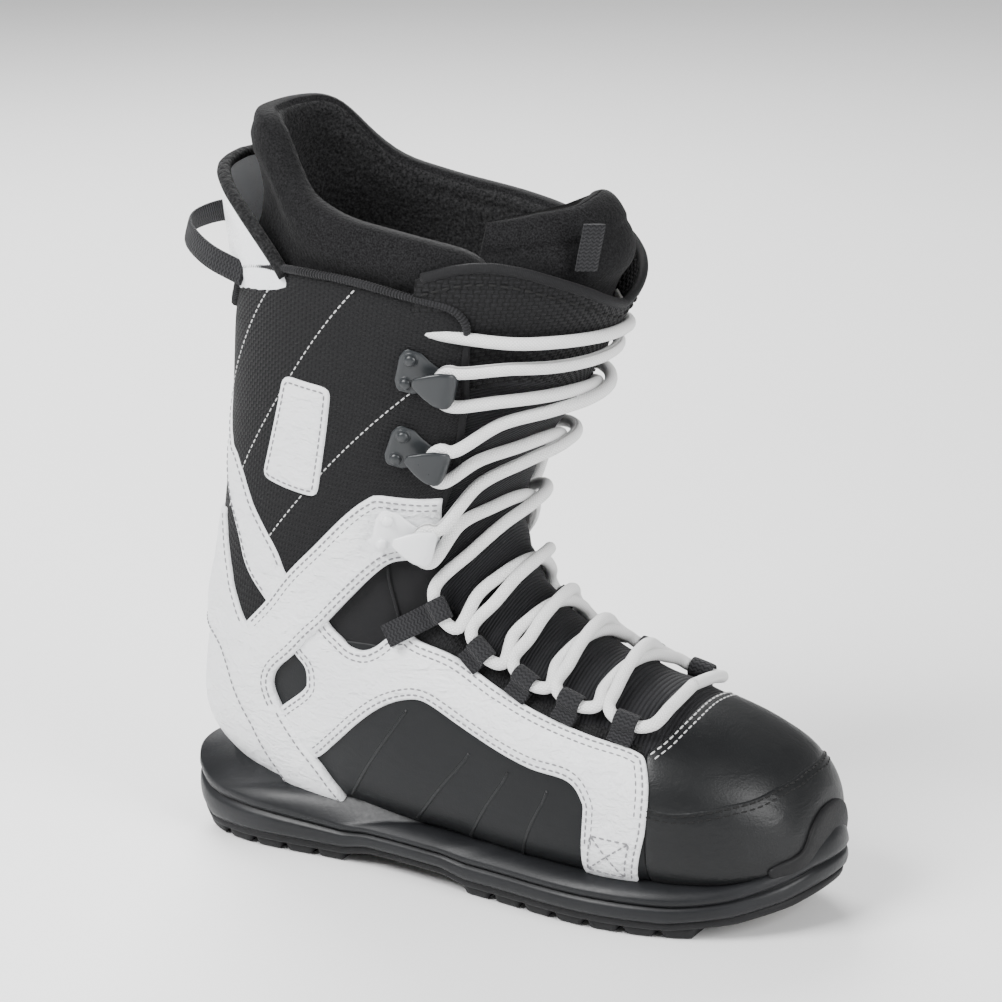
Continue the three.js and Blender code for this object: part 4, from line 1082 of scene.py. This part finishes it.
rim_angles = np.linspace(-1.33, 1.33, 150)
rim_t = tongue_top(rim_angles) - .02
rim_path = on_form(rim_t, rim_angles, tongue_off(rim_t, rim_angles) - 1.0)
rim = tube("tongue_binding", rim_path, 2.3, STRETCH, 14, outward(rim_t, rim_angles), .9)
bends(rim, slot="tongue_fabric")
fold_t = rim_t - .24
fold = np.stack([fold_t, rim_angles], 1)
seam_angles = np.linspace(-1.0, 1.0, 120)
seam_t = TONGUE_FOOT + TONGUE_SEAM * (tongue_top(seam_angles) - TONGUE_FOOT)
seam = np.stack([seam_t, seam_angles], 1)
bends(joined("tongue_stitches", [
    dashes("tongue_top_row", [(fold, tongue_off(fold_t, rim_angles) + .25)], BLACK_THREAD,
           length=3.4, gap=1.6, width=.6),
    dashes("tongue_seam_row", [(seam, tongue_off(seam[:, 0], seam[:, 1]) + .3)], BLACK_THREAD),
]), slot="tongue_fabric")

# ---------------------------------------------------------------- lace hooks
HOOK_PLACES = [(10.3, 1.03, 4.6), (11.85, 1.12, .4), (13.15, 1.18, .4)]
HOOK_PLATE = 1.6
ARC = np.linspace(0, 1, 9)


def hook_path():
    """Plate, bend and beak as one folded line of x and z."""
    plate = [(x, .8) for x in np.linspace(-17.5, 4.5, 16)]
    bend = [(4.6 + 4.4 * math.sin(u * math.pi), 5.0 - 4.2 * math.cos(u * math.pi)) for u in ARC[1:-1]]
    beak = [(x, 9.2 + .01125 * (x + 8) * (4.5 - x)) for x in np.linspace(4.4, -8.5, 14)]
    return np.array(plate + bend + beak)


HOOK_LINE = hook_path()


def hook_width(share):
    return float(np.interp(share, [0, .02, .06, .18, .27, .36, .50, .55, .60, .68, .78, .88, .95, 1],
                           [6, 8.8, 10.2, 10, 7.4, 5.4, 4.4, 5.6, 7.6, 8.6, 7.9, 5.6, 3.4, 1.6]))


def hook_thickness(share):
    return float(np.interp(share, [0, .02, .4, .55, .7, .9, 1], [.9, 1.6, 1.6, 1.9, 2.8, 2.4, 1.2]))


def beak_ridge(share, wide):
    """Three ribs fan out from the beak's tip, on its domed outer face."""
    rise = float(smoothstep(.54, .62, share)) * (1 - float(smoothstep(.94, 1.0, share)))
    return rise * (.95 * np.cos(wide * math.pi * 1.5) ** 2 + 1.5 * (1 - wide ** 2))


def make_hooks(side, word, flip):
    for i, (t, angle, off) in enumerate(HOOK_PLACES):
        coat = HOOK_WHITE if i == 0 else HOOK_DARK
        place = frame_at(t, angle, off, side)
        parts = [ribbon(f"hook_{word}", place, HOOK_LINE, hook_width, hook_thickness, coat, beak_ridge, 12)]
        for y in (-5.8, 5.8):
            for low, wide, tall in ((HOOK_PLATE - .2, 3.5, .7), (HOOK_PLATE + .3, 2.7, 1.8)):
                parts.append(dome(f"rivet_{word}", place, (-12.4, y, low), wide, tall, coat))
        hook = joined(f"lace_hook_{word}_{i + 1}", parts)
        rides(hook, "cuff", f"hook_{word}_{i + 1}", slot="hook_white" if i == 0 else "hook_metal")


def dome(name, place, at, radius, height, material):
    """A low domed rivet head standing on a point of a local frame."""
    sides, rings = 20, 6
    grid = []
    for k in range(rings + 1):
        u = k / rings * math.pi / 2
        r, z = radius * math.cos(u) ** .8, height * math.sin(u)
        turn = np.arange(sides) / sides * TAU
        grid.append(np.stack([at[0] + max(r, .05) * np.cos(turn), at[1] + max(r, .05) * np.sin(turn),
                              np.full(sides, at[2] + z)], 1))
    local = np.array(grid)
    points = to_world(local.reshape(-1, 3), place).reshape(local.shape)
    return face_out(skin(name, points, material))


both_sides(make_hooks)

# ---------------------------------------------------------------- webbing loops
LACE_R = 2.8
LOOP_HOLE = LACE_R + .5
LOOP_PLACES = [(4.52, .72), (5.37, .75), (6.25, .79), (7.32, .86)]
ANKLE_LOOP = (8.5, .94)
LACE_HEIGHT = .4 + 4.9


def loop_path(tail):
    """Webbing from under the leather, round the lace and back onto itself."""
    r = LOOP_HOLE + .55
    start = [(-x, 1.0) for x in np.linspace(tail, 1, max(4, int(tail / 2)))]
    turn = [(r * math.sin(u), LACE_HEIGHT - r * math.cos(u)) for u in np.linspace(.1, 1.42 * math.pi, 20)]
    back = [(-r - x, 2.0 + 1.6 * math.exp(-x / 2.5))
            for x in np.linspace(.2, tail - r + .5, max(3, int(tail / 2)))]
    return np.array(start + turn + back)


def make_loops(side, word, flip):
    for i, (t, angle) in enumerate(LOOP_PLACES):
        place = frame_at(t, angle, .2, side)
        piece = ribbon(f"webbing_loop_{word}_{i + 1}", place, loop_path(9), 5.4, 1.15, WEBBING)
        bends(face_out(piece), f"lace_loop_{word}_{i + 1}", slot="webbing")
    place = frame_at(*ANKLE_LOOP, .2, side)
    piece = ribbon(f"ankle_webbing_{word}", place, loop_path(27), 5.2, 1.3, WEBBING)
    bends(face_out(piece), f"ankle_loop_{word}", slot="webbing")


both_sides(make_loops)

# ---------------------------------------------------------------- lace
LOOP_PASS = [(3.5, -10.5), (0, -5.7), (0, 5.7), (3.5, 10.5)]
HOOK_PASS = [(9.5, -8.2), (4.6, -7.4), (2.0, -4.0), (2.0, 4.0), (4.6, 7.4), (9.5, 8.2)]
HOOK_LACE_HEIGHT = HOOK_PLATE + .4 + LACE_R
LACE_UNDER = .4 + LACE_R
LACE_OVER = LACE_UNDER + 2 * LACE_R + .1
PASS_T = .3
STEPS = [*LOOP_PLACES, ANKLE_LOOP, *[h[:2] for h in HOOK_PLACES]]
TOE_BAR_T = 4.12
TOP_BARS = {LATERAL: (13.62, 1.36, 12.92), MEDIAL: (13.86, 1.36, 13.42)}


def lace_pass(step, side):
    is_hook = step > 4
    t, angle = STEPS[step]
    place = frame_at(t, angle, HOOK_PLACES[step - 5][2] if is_hook else 0, side)
    height = HOOK_LACE_HEIGHT if is_hook else LACE_HEIGHT
    return list(to_world([(x, y, height) for x, y in (HOOK_PASS if is_hook else LOOP_PASS)], place))


STRAND_GAP = .16               # share of a strand left out at each end


def strand(start, end, side):
    """One strand over the tongue, on top of its crossing neighbour when it starts on the lateral side.
    Round the shin it dips in front, as a taut lace does."""
    points = []
    t_low, t_high = start[0] + PASS_T, end[0] - PASS_T
    for share in np.linspace(STRAND_GAP, 1 - STRAND_GAP, 6):
        angle = (start[1] - (start[1] + end[1]) * share) * (1 if side == LATERAL else -1)
        dip = .34 * float(smoothstep(9.5, 12.0, t_low)) * (1 - (2 * share - 1) ** 2)
        t = t_low + (t_high - t_low) * share - dip
        middle = math.exp(-((share - .5) / .27) ** 2)
        lift = (LACE_OVER - LACE_UNDER) * middle if side == LATERAL else 0
        points.append(on_form(t, angle, LACE_UNDER + lift + 1.2 * abs(2 * share - 1) ** 3))
    return points


def half_lace(side):
    points = [on_form(TOE_BAR_T, 0, LACE_UNDER), on_form(TOE_BAR_T, -side * .4, LACE_UNDER + .3)]
    for step in range(8):
        here = side if step % 2 == 0 else -side
        points += lace_pass(step, here)
        if step < 7:
            points += strand(STEPS[step], STEPS[step + 1], here)
    t, angle, front_t = TOP_BARS[-side]
    start = STEPS[7][0] + PASS_T
    for share in np.linspace(.14, 1, 9):
        turn = (STEPS[7][1] - (STEPS[7][1] + angle) * share) * side
        bow = 1 - (2 * share - 1) ** 2
        here = start + (t - start) * share + (front_t - .5 * (start + t)) * bow
        tuck = 6.2 * smoothstep(.82, .96, share)
        points.append(on_form(here, turn, LACE_UNDER + .3 - tuck))
    return points


def spline(points, step=1.5):
    """Points every step mm on a centripetal curve through the given points."""
    p = np.array(points, float)
    p = np.vstack([2 * p[0] - p[1], p, 2 * p[-1] - p[-2]])
    line = []
    for a, b, c, d in zip(p, p[1:], p[2:], p[3:]):
        k = [math.sqrt(max(np.linalg.norm(v - u), 1e-6)) for u, v in ((a, b), (b, c), (c, d))]
        one = ((b - a) / k[0] - (c - a) / (k[0] + k[1]) + (c - b) / k[1]) * k[1]
        two = ((c - b) / k[1] - (d - b) / (k[1] + k[2]) + (d - c) / k[2]) * k[1]
        n = max(2, int(math.ceil(np.linalg.norm(c - b) / step)))
        for u in np.arange(n) / n:
            line.append((2 * b - 2 * c + one + two) * u ** 3 + (3 * c - 3 * b - 2 * one - two) * u * u
                        + one * u + b)
    line.append(p[-2])
    return np.array(line)


lace_parts = [tube(f"lace_{k}", spline(half_lace(side)), LACE_R, LACE, 16)
              for k, side in enumerate((LATERAL, MEDIAL))]
lace = joined("lace", lace_parts)
bends(lace, "lace_lower", "lace_upper_a", "lace_upper_b", "lace_flex_a", "lace_flex_b", slot="lace")

# ---------------------------------------------------------------- liner
LINER_TOP_X = [-170, -128, -120, -110, -102, -96, -90, -76, -50, -20, 10, 26, 60, 120]
LINER_TOP_Z = [331, 335, 338, 338, 335, 329, 321, 309, 302, 298, 293, 276, 250, 240]


def liner_top(angle):
    """The station of the liner's top edge at an angle."""
    low, high = 8.0, 17.0
    for _ in range(26):
        middle = .5 * (low + high)
        x, _, z = on_form(middle, angle, -9)
        if z < np.interp(x, LINER_TOP_X, LINER_TOP_Z):
            low = middle
        else:
            high = middle
    return low


def make_liner():
    """Sock and rolled collar as one padded skin, its section running up the outside and down the inside."""
    around = 128
    angles = np.arange(around) / around * TAU
    tops = np.array([liner_top(a if a <= BACK else TAU - a) for a in angles])
    for _ in range(4):
        tops = .5 * tops + .25 * (np.roll(tops, 1) + np.roll(tops, -1))
    shares = np.concatenate([np.linspace(0, .75, 34), 1 - np.geomspace(.25, .004, 34)[1:]])
    outer, inner, uv = [], [], []
    for share in shares:
        t = .5 + (tops - .5) * share
        below = (tops - t) * 40
        roll = np.exp(-((below - 17) / 13) ** 2)
        crown = np.sqrt(np.clip(1 - (1 - np.clip(below / 7, 0, 1)) ** 2, 0, 1))
        rear = smoothstep(.15, .75, -np.cos(angles)) * smoothstep(14.2, 15.2, t)
        strip = 1.1 * np.exp(-((below - 9) / 3.2) ** 4)
        front = np.cos(angles) > .55
        swell = np.where(front, 0, 1.0)
        wrinkle = .35 * np.sin(angles * 11 + t * 7) * np.sin(t * 13 + angles * 4)
        half = 3.75 + 3.4 * roll * swell
        middle = -9.6 + 1.2 * roll * swell * (1 - rear) - 7.5 * rear
        outer.append(on_form(t, angles, middle + half * crown + wrinkle * swell * crown))
        inner.append(on_form(t, angles, middle - (half + strip * swell) * crown + wrinkle * .5 * crown))
        uv.append(np.stack([t * 30, angles * 50], 1))
    points = np.concatenate([np.array(outer), np.array(inner)[::-1]], 0).transpose(1, 0, 2)
    uv = np.concatenate([np.array(uv), np.array(uv)[::-1]], 0).transpose(1, 0, 2)
    piece = skin("liner_sock", points, LINER_KNIT, uv, loop_u=True)
    piece.data.materials.append(FLEECE)
    n = len(shares)
    marks = np.zeros((around, 2 * n), np.int32)
    marks[:, n + 6:] = 1
    piece.data.polygons.foreach_set("material_index", marks.ravel())
    return face_out(piece)


liner = bends(make_liner(), "liner_foot", "liner_flex", "liner_cuff", slot="liner_foam")


FLAP_TOP = ((-1.1, -.8, -.5, -.2, .1, .4, .8, 1.1), (15.0, 15.3, 15.45, 15.48, 15.44, 15.38, 15.36, 15.25))


def flap_middle(t, angle):
    """The liner tongue follows the shin and then leans back over it."""
    return -11.5 - 15 * smoothstep(14.3, 15.6, t) * np.cos(.9 * angle) - 1.5 * np.abs(angle)


def make_flap():
    """A thick padded tongue with round edges; its top falls from the medial to the lateral side."""
    half_count, up = 48, 56
    wide, foot = 1.12, 12.4
    points, uv = [], []
    for j in range(up):
        v = 1 - (1 - j / (up - 1)) ** 1.7
        ring, ring_uv = [], []
        for k in range(2 * half_count):
            turn = TAU * (k + .5) / (2 * half_count)
            angle = wide * math.cos(turn) * (1 - .10 * max(v - .6, 0) ** 2)
            round_edge = math.copysign(abs(math.sin(turn)) ** .62, math.sin(turn))
            top = float(np.interp(angle, *FLAP_TOP))
            t = foot + (top - foot) * v
            from_top = (top - t) * 24
            crown = math.sqrt(max(1 - max(1 - from_top / 9, 0) ** 2, 0))
            swell = float(smoothstep(14.0, 14.8, t))
            thick = (3.6 + 4.8 * swell) * crown * round_edge
            ridge = .9 * swell * math.exp(-((from_top - 10) / 1.6) ** 2) * (round_edge > 0)
            ring.append(on_form(t, angle, flap_middle(t, angle) + thick - ridge))
            ring_uv.append((t * 30, angle * 50))
        points.append(ring)
        uv.append(ring_uv)
    return face_out(skin("liner_tongue_pad", np.array(points), LINER_KNIT, np.array(uv)))


flap = bends(make_flap(), "liner_tongue", slot="liner_foam")

tab_place = frame_at(15.05, .50, -3.4, LATERAL)
tab = ribbon("liner_webbing_tab", (tab_place[0], tab_place[1][[1, 0, 2]]),
             [(x, .12 * math.sin(x * .4)) for x in np.linspace(-11, 10, 14)], 5.2, 1.5, WEBBING)
rides(face_out(tab), "cuff", "liner_pull_tab", slot="webbing")

# ---------------------------------------------------------------- back collar and pull loop
def collar_off(line):
    """The collar stands away from the liner, most at its top."""
    return 3.6 * smoothstep(14.1, 15.4, line[:, 0]) - 2.0 * (1 - smoothstep(14.1, 14.4, line[:, 0]))


collar_side = on_form_curve([(13.95, 1.95, 1), (14.5, 2.08), (14.95, 2.25), (15.3, 2.45), (15.52, 2.72),
                             (15.58, BACK, 1)])
collar_low = on_form_curve([(13.7, BACK), (13.72, 2.5), (13.95, 1.95)])
collar_half = np.vstack([collar_low, collar_side])
collar_outline = np.vstack([collar_half, mirrored(collar_half)[::-1]])
collar = panel("back_collar_satin", collar_outline, SATIN, -3.0, 3.4, puff=1.2, edge=1.6,
               relief=collar_off, lean=True)
rides(collar, "cuff", "back_collar", slot="white_satin")
hem = round_the_back(resampled(collar_side[collar_side[:, 0] > 14.42], 2.0, closed=False))
rides(tube("back_collar_edge", on_form(hem[:, 0], hem[:, 1], -.6 + collar_off(hem)), 2.6, FLEECE, 12,
           outward(hem[:, 0], hem[:, 1]), 1.2), "cuff", slot="liner_foam")

PULL = {"x": -106, "z": 268, "half": 43.5, "reach": 48, "height": 11, "thick": 1.8, "tilt": 16}


def make_pull_loop():
    half, back = PULL["half"] - .9, PULL["reach"] - .9
    near = [(-deep * back, wide * half, 0)
            for deep, wide in ((0, 1), (.42, .93), (.80, .66), (.97, .34))]
    corners = [(x, -y, z) for x, y, z in near] + near[::-1]
    line = spline(corners, 1.2)
    tangent = np.gradient(line, axis=0)
    tangent /= np.linalg.norm(tangent, axis=1, keepdims=True)
    out = np.cross(tangent, [0, 0, 1])
    section = []
    for y, z in ribbon_section(PULL["height"] / 2, PULL["thick"] / 2):
        section.append(line + out * z + np.array([0, 0, y]))
    points = np.stack(section, 1)
    lean = math.radians(PULL["tilt"])
    turned = points.copy()
    turned[..., 0] = points[..., 0] * math.cos(lean) + points[..., 2] * math.sin(lean) + PULL["x"]
    turned[..., 2] = -points[..., 0] * math.sin(lean) + points[..., 2] * math.cos(lean) + PULL["z"]
    far = np.concatenate([[0], np.cumsum(np.linalg.norm(np.diff(line, axis=0), axis=1))])
    uv = np.stack([np.repeat(far[:, None], points.shape[1], 1),
                   np.repeat(np.array([s[0] for s in ribbon_section(5.5, .9)])[None], len(line), 0)], -1)
    return face_out(skin("pull_webbing", turned, WEBBING, uv))


def ribbon_section(half, thick):
    around = 12
    turn = (np.arange(2 * around) + .5) / (2 * around) * TAU
    return [(half * math.copysign(abs(math.cos(a)) ** .4, math.cos(a)),
             thick * math.copysign(abs(math.sin(a)) ** .7, math.sin(a))) for a in turn]


rides(make_pull_loop(), "pull_loop", "rear_pull_loop", slot="webbing")

# ---------------------------------------------------------------- sole
SOLE_OUTLINE = [(-152, 0), (-143, -27), (-112, -41), (-50, -41), (15, -50), (68, -57), (112, -49),
                (146, -24), (159, 8), (150, 33), (115, 48), (68, 51), (5, 38), (-50, 33),
                (-112, 38), (-143, 26)]
PLATE_X = [-153, -146, -135, -62, -50, -8, 4, 105, 130, 148, 161]
PLATE_Z = [15, 9, 4, 4, 6.5, 6.5, 4, 4, 7, 12, 18]
OUTSOLE = 4.5


SOLE_POINTS = 240


def sole_outline(inset):
    """The sole's plan outline, moved in, with its points at even distances."""
    line = smooth_line(SOLE_OUTLINE, 2.0, closed=True)
    ring = np.vstack([line, line[:1]])
    far = np.concatenate([[0], np.cumsum(np.linalg.norm(np.diff(ring, axis=0), axis=1))])
    at = np.linspace(0, far[-1], SOLE_POINTS + 1)[:-1]
    line = np.stack([np.interp(at, far, ring[:, k]) for k in (0, 1)], 1)
    along = np.roll(line, -2, 0) - np.roll(line, 2, 0)
    along /= np.linalg.norm(along, axis=1, keepdims=True)
    return line + inset * np.stack([-along[:, 1], along[:, 0]], 1) * (1 if signed_area(line) > 0 else -1)


def upper_rim():
    """The line where the midsole's lip meets the upper, all the way round."""
    half = []
    for x in np.linspace(-139, 152, 150):
        half.append(locate(x, float(rim_height(x))))
    half = np.array(half)
    lateral_side = on_form(half[:, 0], half[:, 1], .5)
    medial_side = on_form(half[:, 0], TAU - half[:, 1], .5)
    return np.vstack([lateral_side, medial_side[::-1]])


def make_midsole():
    """A moulded cup: lower wall, groove, bulging upper band and lip, drawn in against the upper."""
    wall = [(1.5, 0), (.1, .07), (-.4, .18), (-.3, .30), (.3, .39), (1.9, .405), (1.9, .435), (.2, .46),
            (-.5, .55), (-.2, .64)]
    lip = [(.10, .72), (.28, .82), (.50, .90), (.74, .965), (1.0, 1.0), (1.0, .90)]
    edge = sole_outline(0)
    low = np.interp(edge[:, 0], PLATE_X, PLATE_Z) + OUTSOLE - .6
    high = rim_height(edge[:, 0])
    target = upper_rim()
    nearest = np.array([np.argmin(np.sum((target[:, :2] - p) ** 2, 1)) for p in edge])
    ring = target[nearest]
    for _ in range(3):
        ring = .5 * ring + .25 * (np.roll(ring, 1, 0) + np.roll(ring, -1, 0))
    rings = []
    for inset, share in wall:
        rings.append(np.column_stack([sole_outline(inset), low + share * (high - low)]))
    last = rings[-1]
    high = high + 2.5
    for share, rise in lip:
        place = last[:, :2] + (ring[:, :2] - last[:, :2]) * share
        rings.append(np.column_stack([place, low + rise * (high - low)]))
    for share, rise in ((.5, .55), (.5, .12)):
        middle = np.column_stack([.82 * edge[:, 0], .74 * edge[:, 1]])
        rings.append(np.column_stack([middle, low + rise * (high - low)]))
    points = np.array(rings).transpose(1, 0, 2)
    around = np.arange(len(points)) * 2.7
    uv = np.stack([np.repeat(around[:, None], points.shape[1], 1), points[..., 2]], -1)
    return face_out(skin("midsole_cup", points, FOAM_CUP, uv, loop_u=True))


rides(make_midsole(), "foot", "midsole", slot="midsole_foam")

HEEL_LUGS = (-139, 5, 11.5, 16)
FOREFOOT_LUGS = (4, 7, 11.5, 16.4)
GROOVE = 4


def edge_y(x, side, inset):
    """Where the sole's edge lies at x, on one side."""
    line = sole_outline(inset)
    half = line[line[:, 1] * side > 0]
    half = half[np.argsort(half[:, 0])]
    return np.interp(x, half[:, 0], half[:, 1])


def make_outsole():
    rings = []
    for inset, lift in ((12, 0), (3.6, 0), (2.4, .6), (1.8, 1.6), (1.5, OUTSOLE - .2), (12, OUTSOLE - .2)):
        line = sole_outline(inset)
        rings.append(np.column_stack([line, np.interp(line[:, 0], PLATE_X, PLATE_Z) + lift]))
    plate = np.array(rings).transpose(1, 0, 2)
    top_mid = sole_outline(12)
    parts = [face_out(skin("tread_plate", plate, RUBBER, loop_u=True))]
    flat = []
    for lift in (.05, OUTSOLE - .25):
        flat.append(np.column_stack([top_mid, np.interp(top_mid[:, 0], PLATE_X, PLATE_Z) + lift]))
    parts.append(face_out(skin("tread_core", np.array(flat).transpose(1, 0, 2), RUBBER, loop_u=True)))
    for first, count, length, pitch in (HEEL_LUGS, FOREFOOT_LUGS):
        for i in range(count):
            for side in (LATERAL, MEDIAL):
                parts.append(make_lug(first + i * pitch, length, side))
    return joined("tread", parts)


def make_lug(x, length, side):
    """One tread block: its outer end follows the sole's edge and its inner end is a blunt chevron."""
    rows = []
    for rise, spread, inset in ((OUTSOLE + 1.5, 1.6, 3.2), (3.2, .5, 3.8), (1.0, -.1, 4.6),
                                (.25, -.6, 5.2), (0, -1.3, 6)):
        xs = np.linspace(x - spread, x + length + spread, 7)
        outer = np.column_stack([xs, edge_y(xs, side, inset)])
        mid = x + length / 2
        tip = GROOVE - spread * .4
        inner = np.array([(x + length + spread, side * (tip + 3)),
                          (mid + 2, side * tip), (mid - 2, side * tip),
                          (x - spread, side * (tip + 3))])
        plan = np.vstack([outer, inner])
        rows.append(np.column_stack([plan, np.full(len(plan), rise)]))
    return face_out(skin("lug", np.array(rows), RUBBER))


rides(make_outsole(), "foot", "outsole", slot="rubber")

BUMPER_TOP = [(1.95, 2.06), (1.62, 1.96), (1.2, 1.86), (.95, 1.72), (.80, 1.3), (.74, .8), (.72, 0)]
bumper_half = on_form_curve(BUMPER_TOP, step=1.5)
bumper_low = on_form_curve([(2.05, 2.5), (1.4, 2.6), (.95, 2.85), (.75, BACK)])
bumper_side = np.vstack([bumper_low[::-1], bumper_half])
bumper_outline = np.vstack([bumper_side, np.stack([bumper_side[:, 0], -bumper_side[:, 1]], 1)[::-1]])
bumper = panel("toe_guard", bumper_outline, RUBBER, .2, 2.6, polar=True, edge=1.4)
rides(bumper, "foot", "toe_bumper", slot="rubber")

for name, look in CAD_LOOKS.items():
    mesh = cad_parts[name].data
    mesh.materials.clear()
    mesh.materials.append(look)

# ---------------------------------------------------------------- floor, light and camera
TARGET = Vector((-4.67 * MM, 0, 168.5 * MM))
FOCAL_LENGTH = 143.3533         # mm, for a sensor 36 mm wide
SENSOR = 36
AZIMUTH, ELEVATION, DISTANCE = math.radians(28), math.radians(17), 1.75
toward_camera = Vector((math.sin(AZIMUTH) * math.cos(ELEVATION), -math.cos(AZIMUTH) * math.cos(ELEVATION),
                        math.sin(ELEVATION)))
floor_shader = Shader("floor", rough=.55)
floor_tone = floor_shader.mix(floor_shader.noise(3.0, 2), (.90, .90, .90), (.93, .93, .93))
floor_shader.set("Base Color", floor_tone)
bpy.ops.mesh.primitive_plane_add(size=12, location=(0, 0, -.0002))
floor = bpy.context.object
floor.name = "studio_floor"
floor.data.materials.append(floor_shader.material)


def softbox(name, place, size, watts):
    lamp = bpy.data.lights.new(name, "AREA")
    lamp.shape = "RECTANGLE"
    lamp.size, lamp.size_y = size
    lamp.energy = watts
    thing = bpy.data.objects.new(name, lamp)
    thing.location = place
    thing.rotation_euler = (TARGET - Vector(place)).to_track_quat("-Z", "Y").to_euler()
    bpy.context.scene.collection.objects.link(thing)


softbox("key", (-.7, -1.2, 1.5), (1.0, 1.0), 75)
softbox("side", (1.7, -.5, .9), (.8, 1.3), 40)
softbox("rear", (-1.0, 1.1, 1.3), (1.2, 1.0), 44)
world = bpy.data.worlds.new("studio")
world.use_nodes = True
world.node_tree.nodes["Background"].inputs["Color"].default_value = (1, 1, 1, 1)
world.node_tree.nodes["Background"].inputs["Strength"].default_value = .42
bpy.context.scene.world = world

camera = bpy.data.cameras.new("camera")
camera.lens = FOCAL_LENGTH
camera.sensor_width = SENSOR
camera.clip_end = 50
viewer = bpy.data.objects.new("camera", camera)
viewer.location = TARGET + toward_camera * DISTANCE
viewer.rotation_euler = toward_camera.to_track_quat("Z", "Y").to_euler()
bpy.context.scene.collection.objects.link(viewer)
bpy.context.scene.camera = viewer
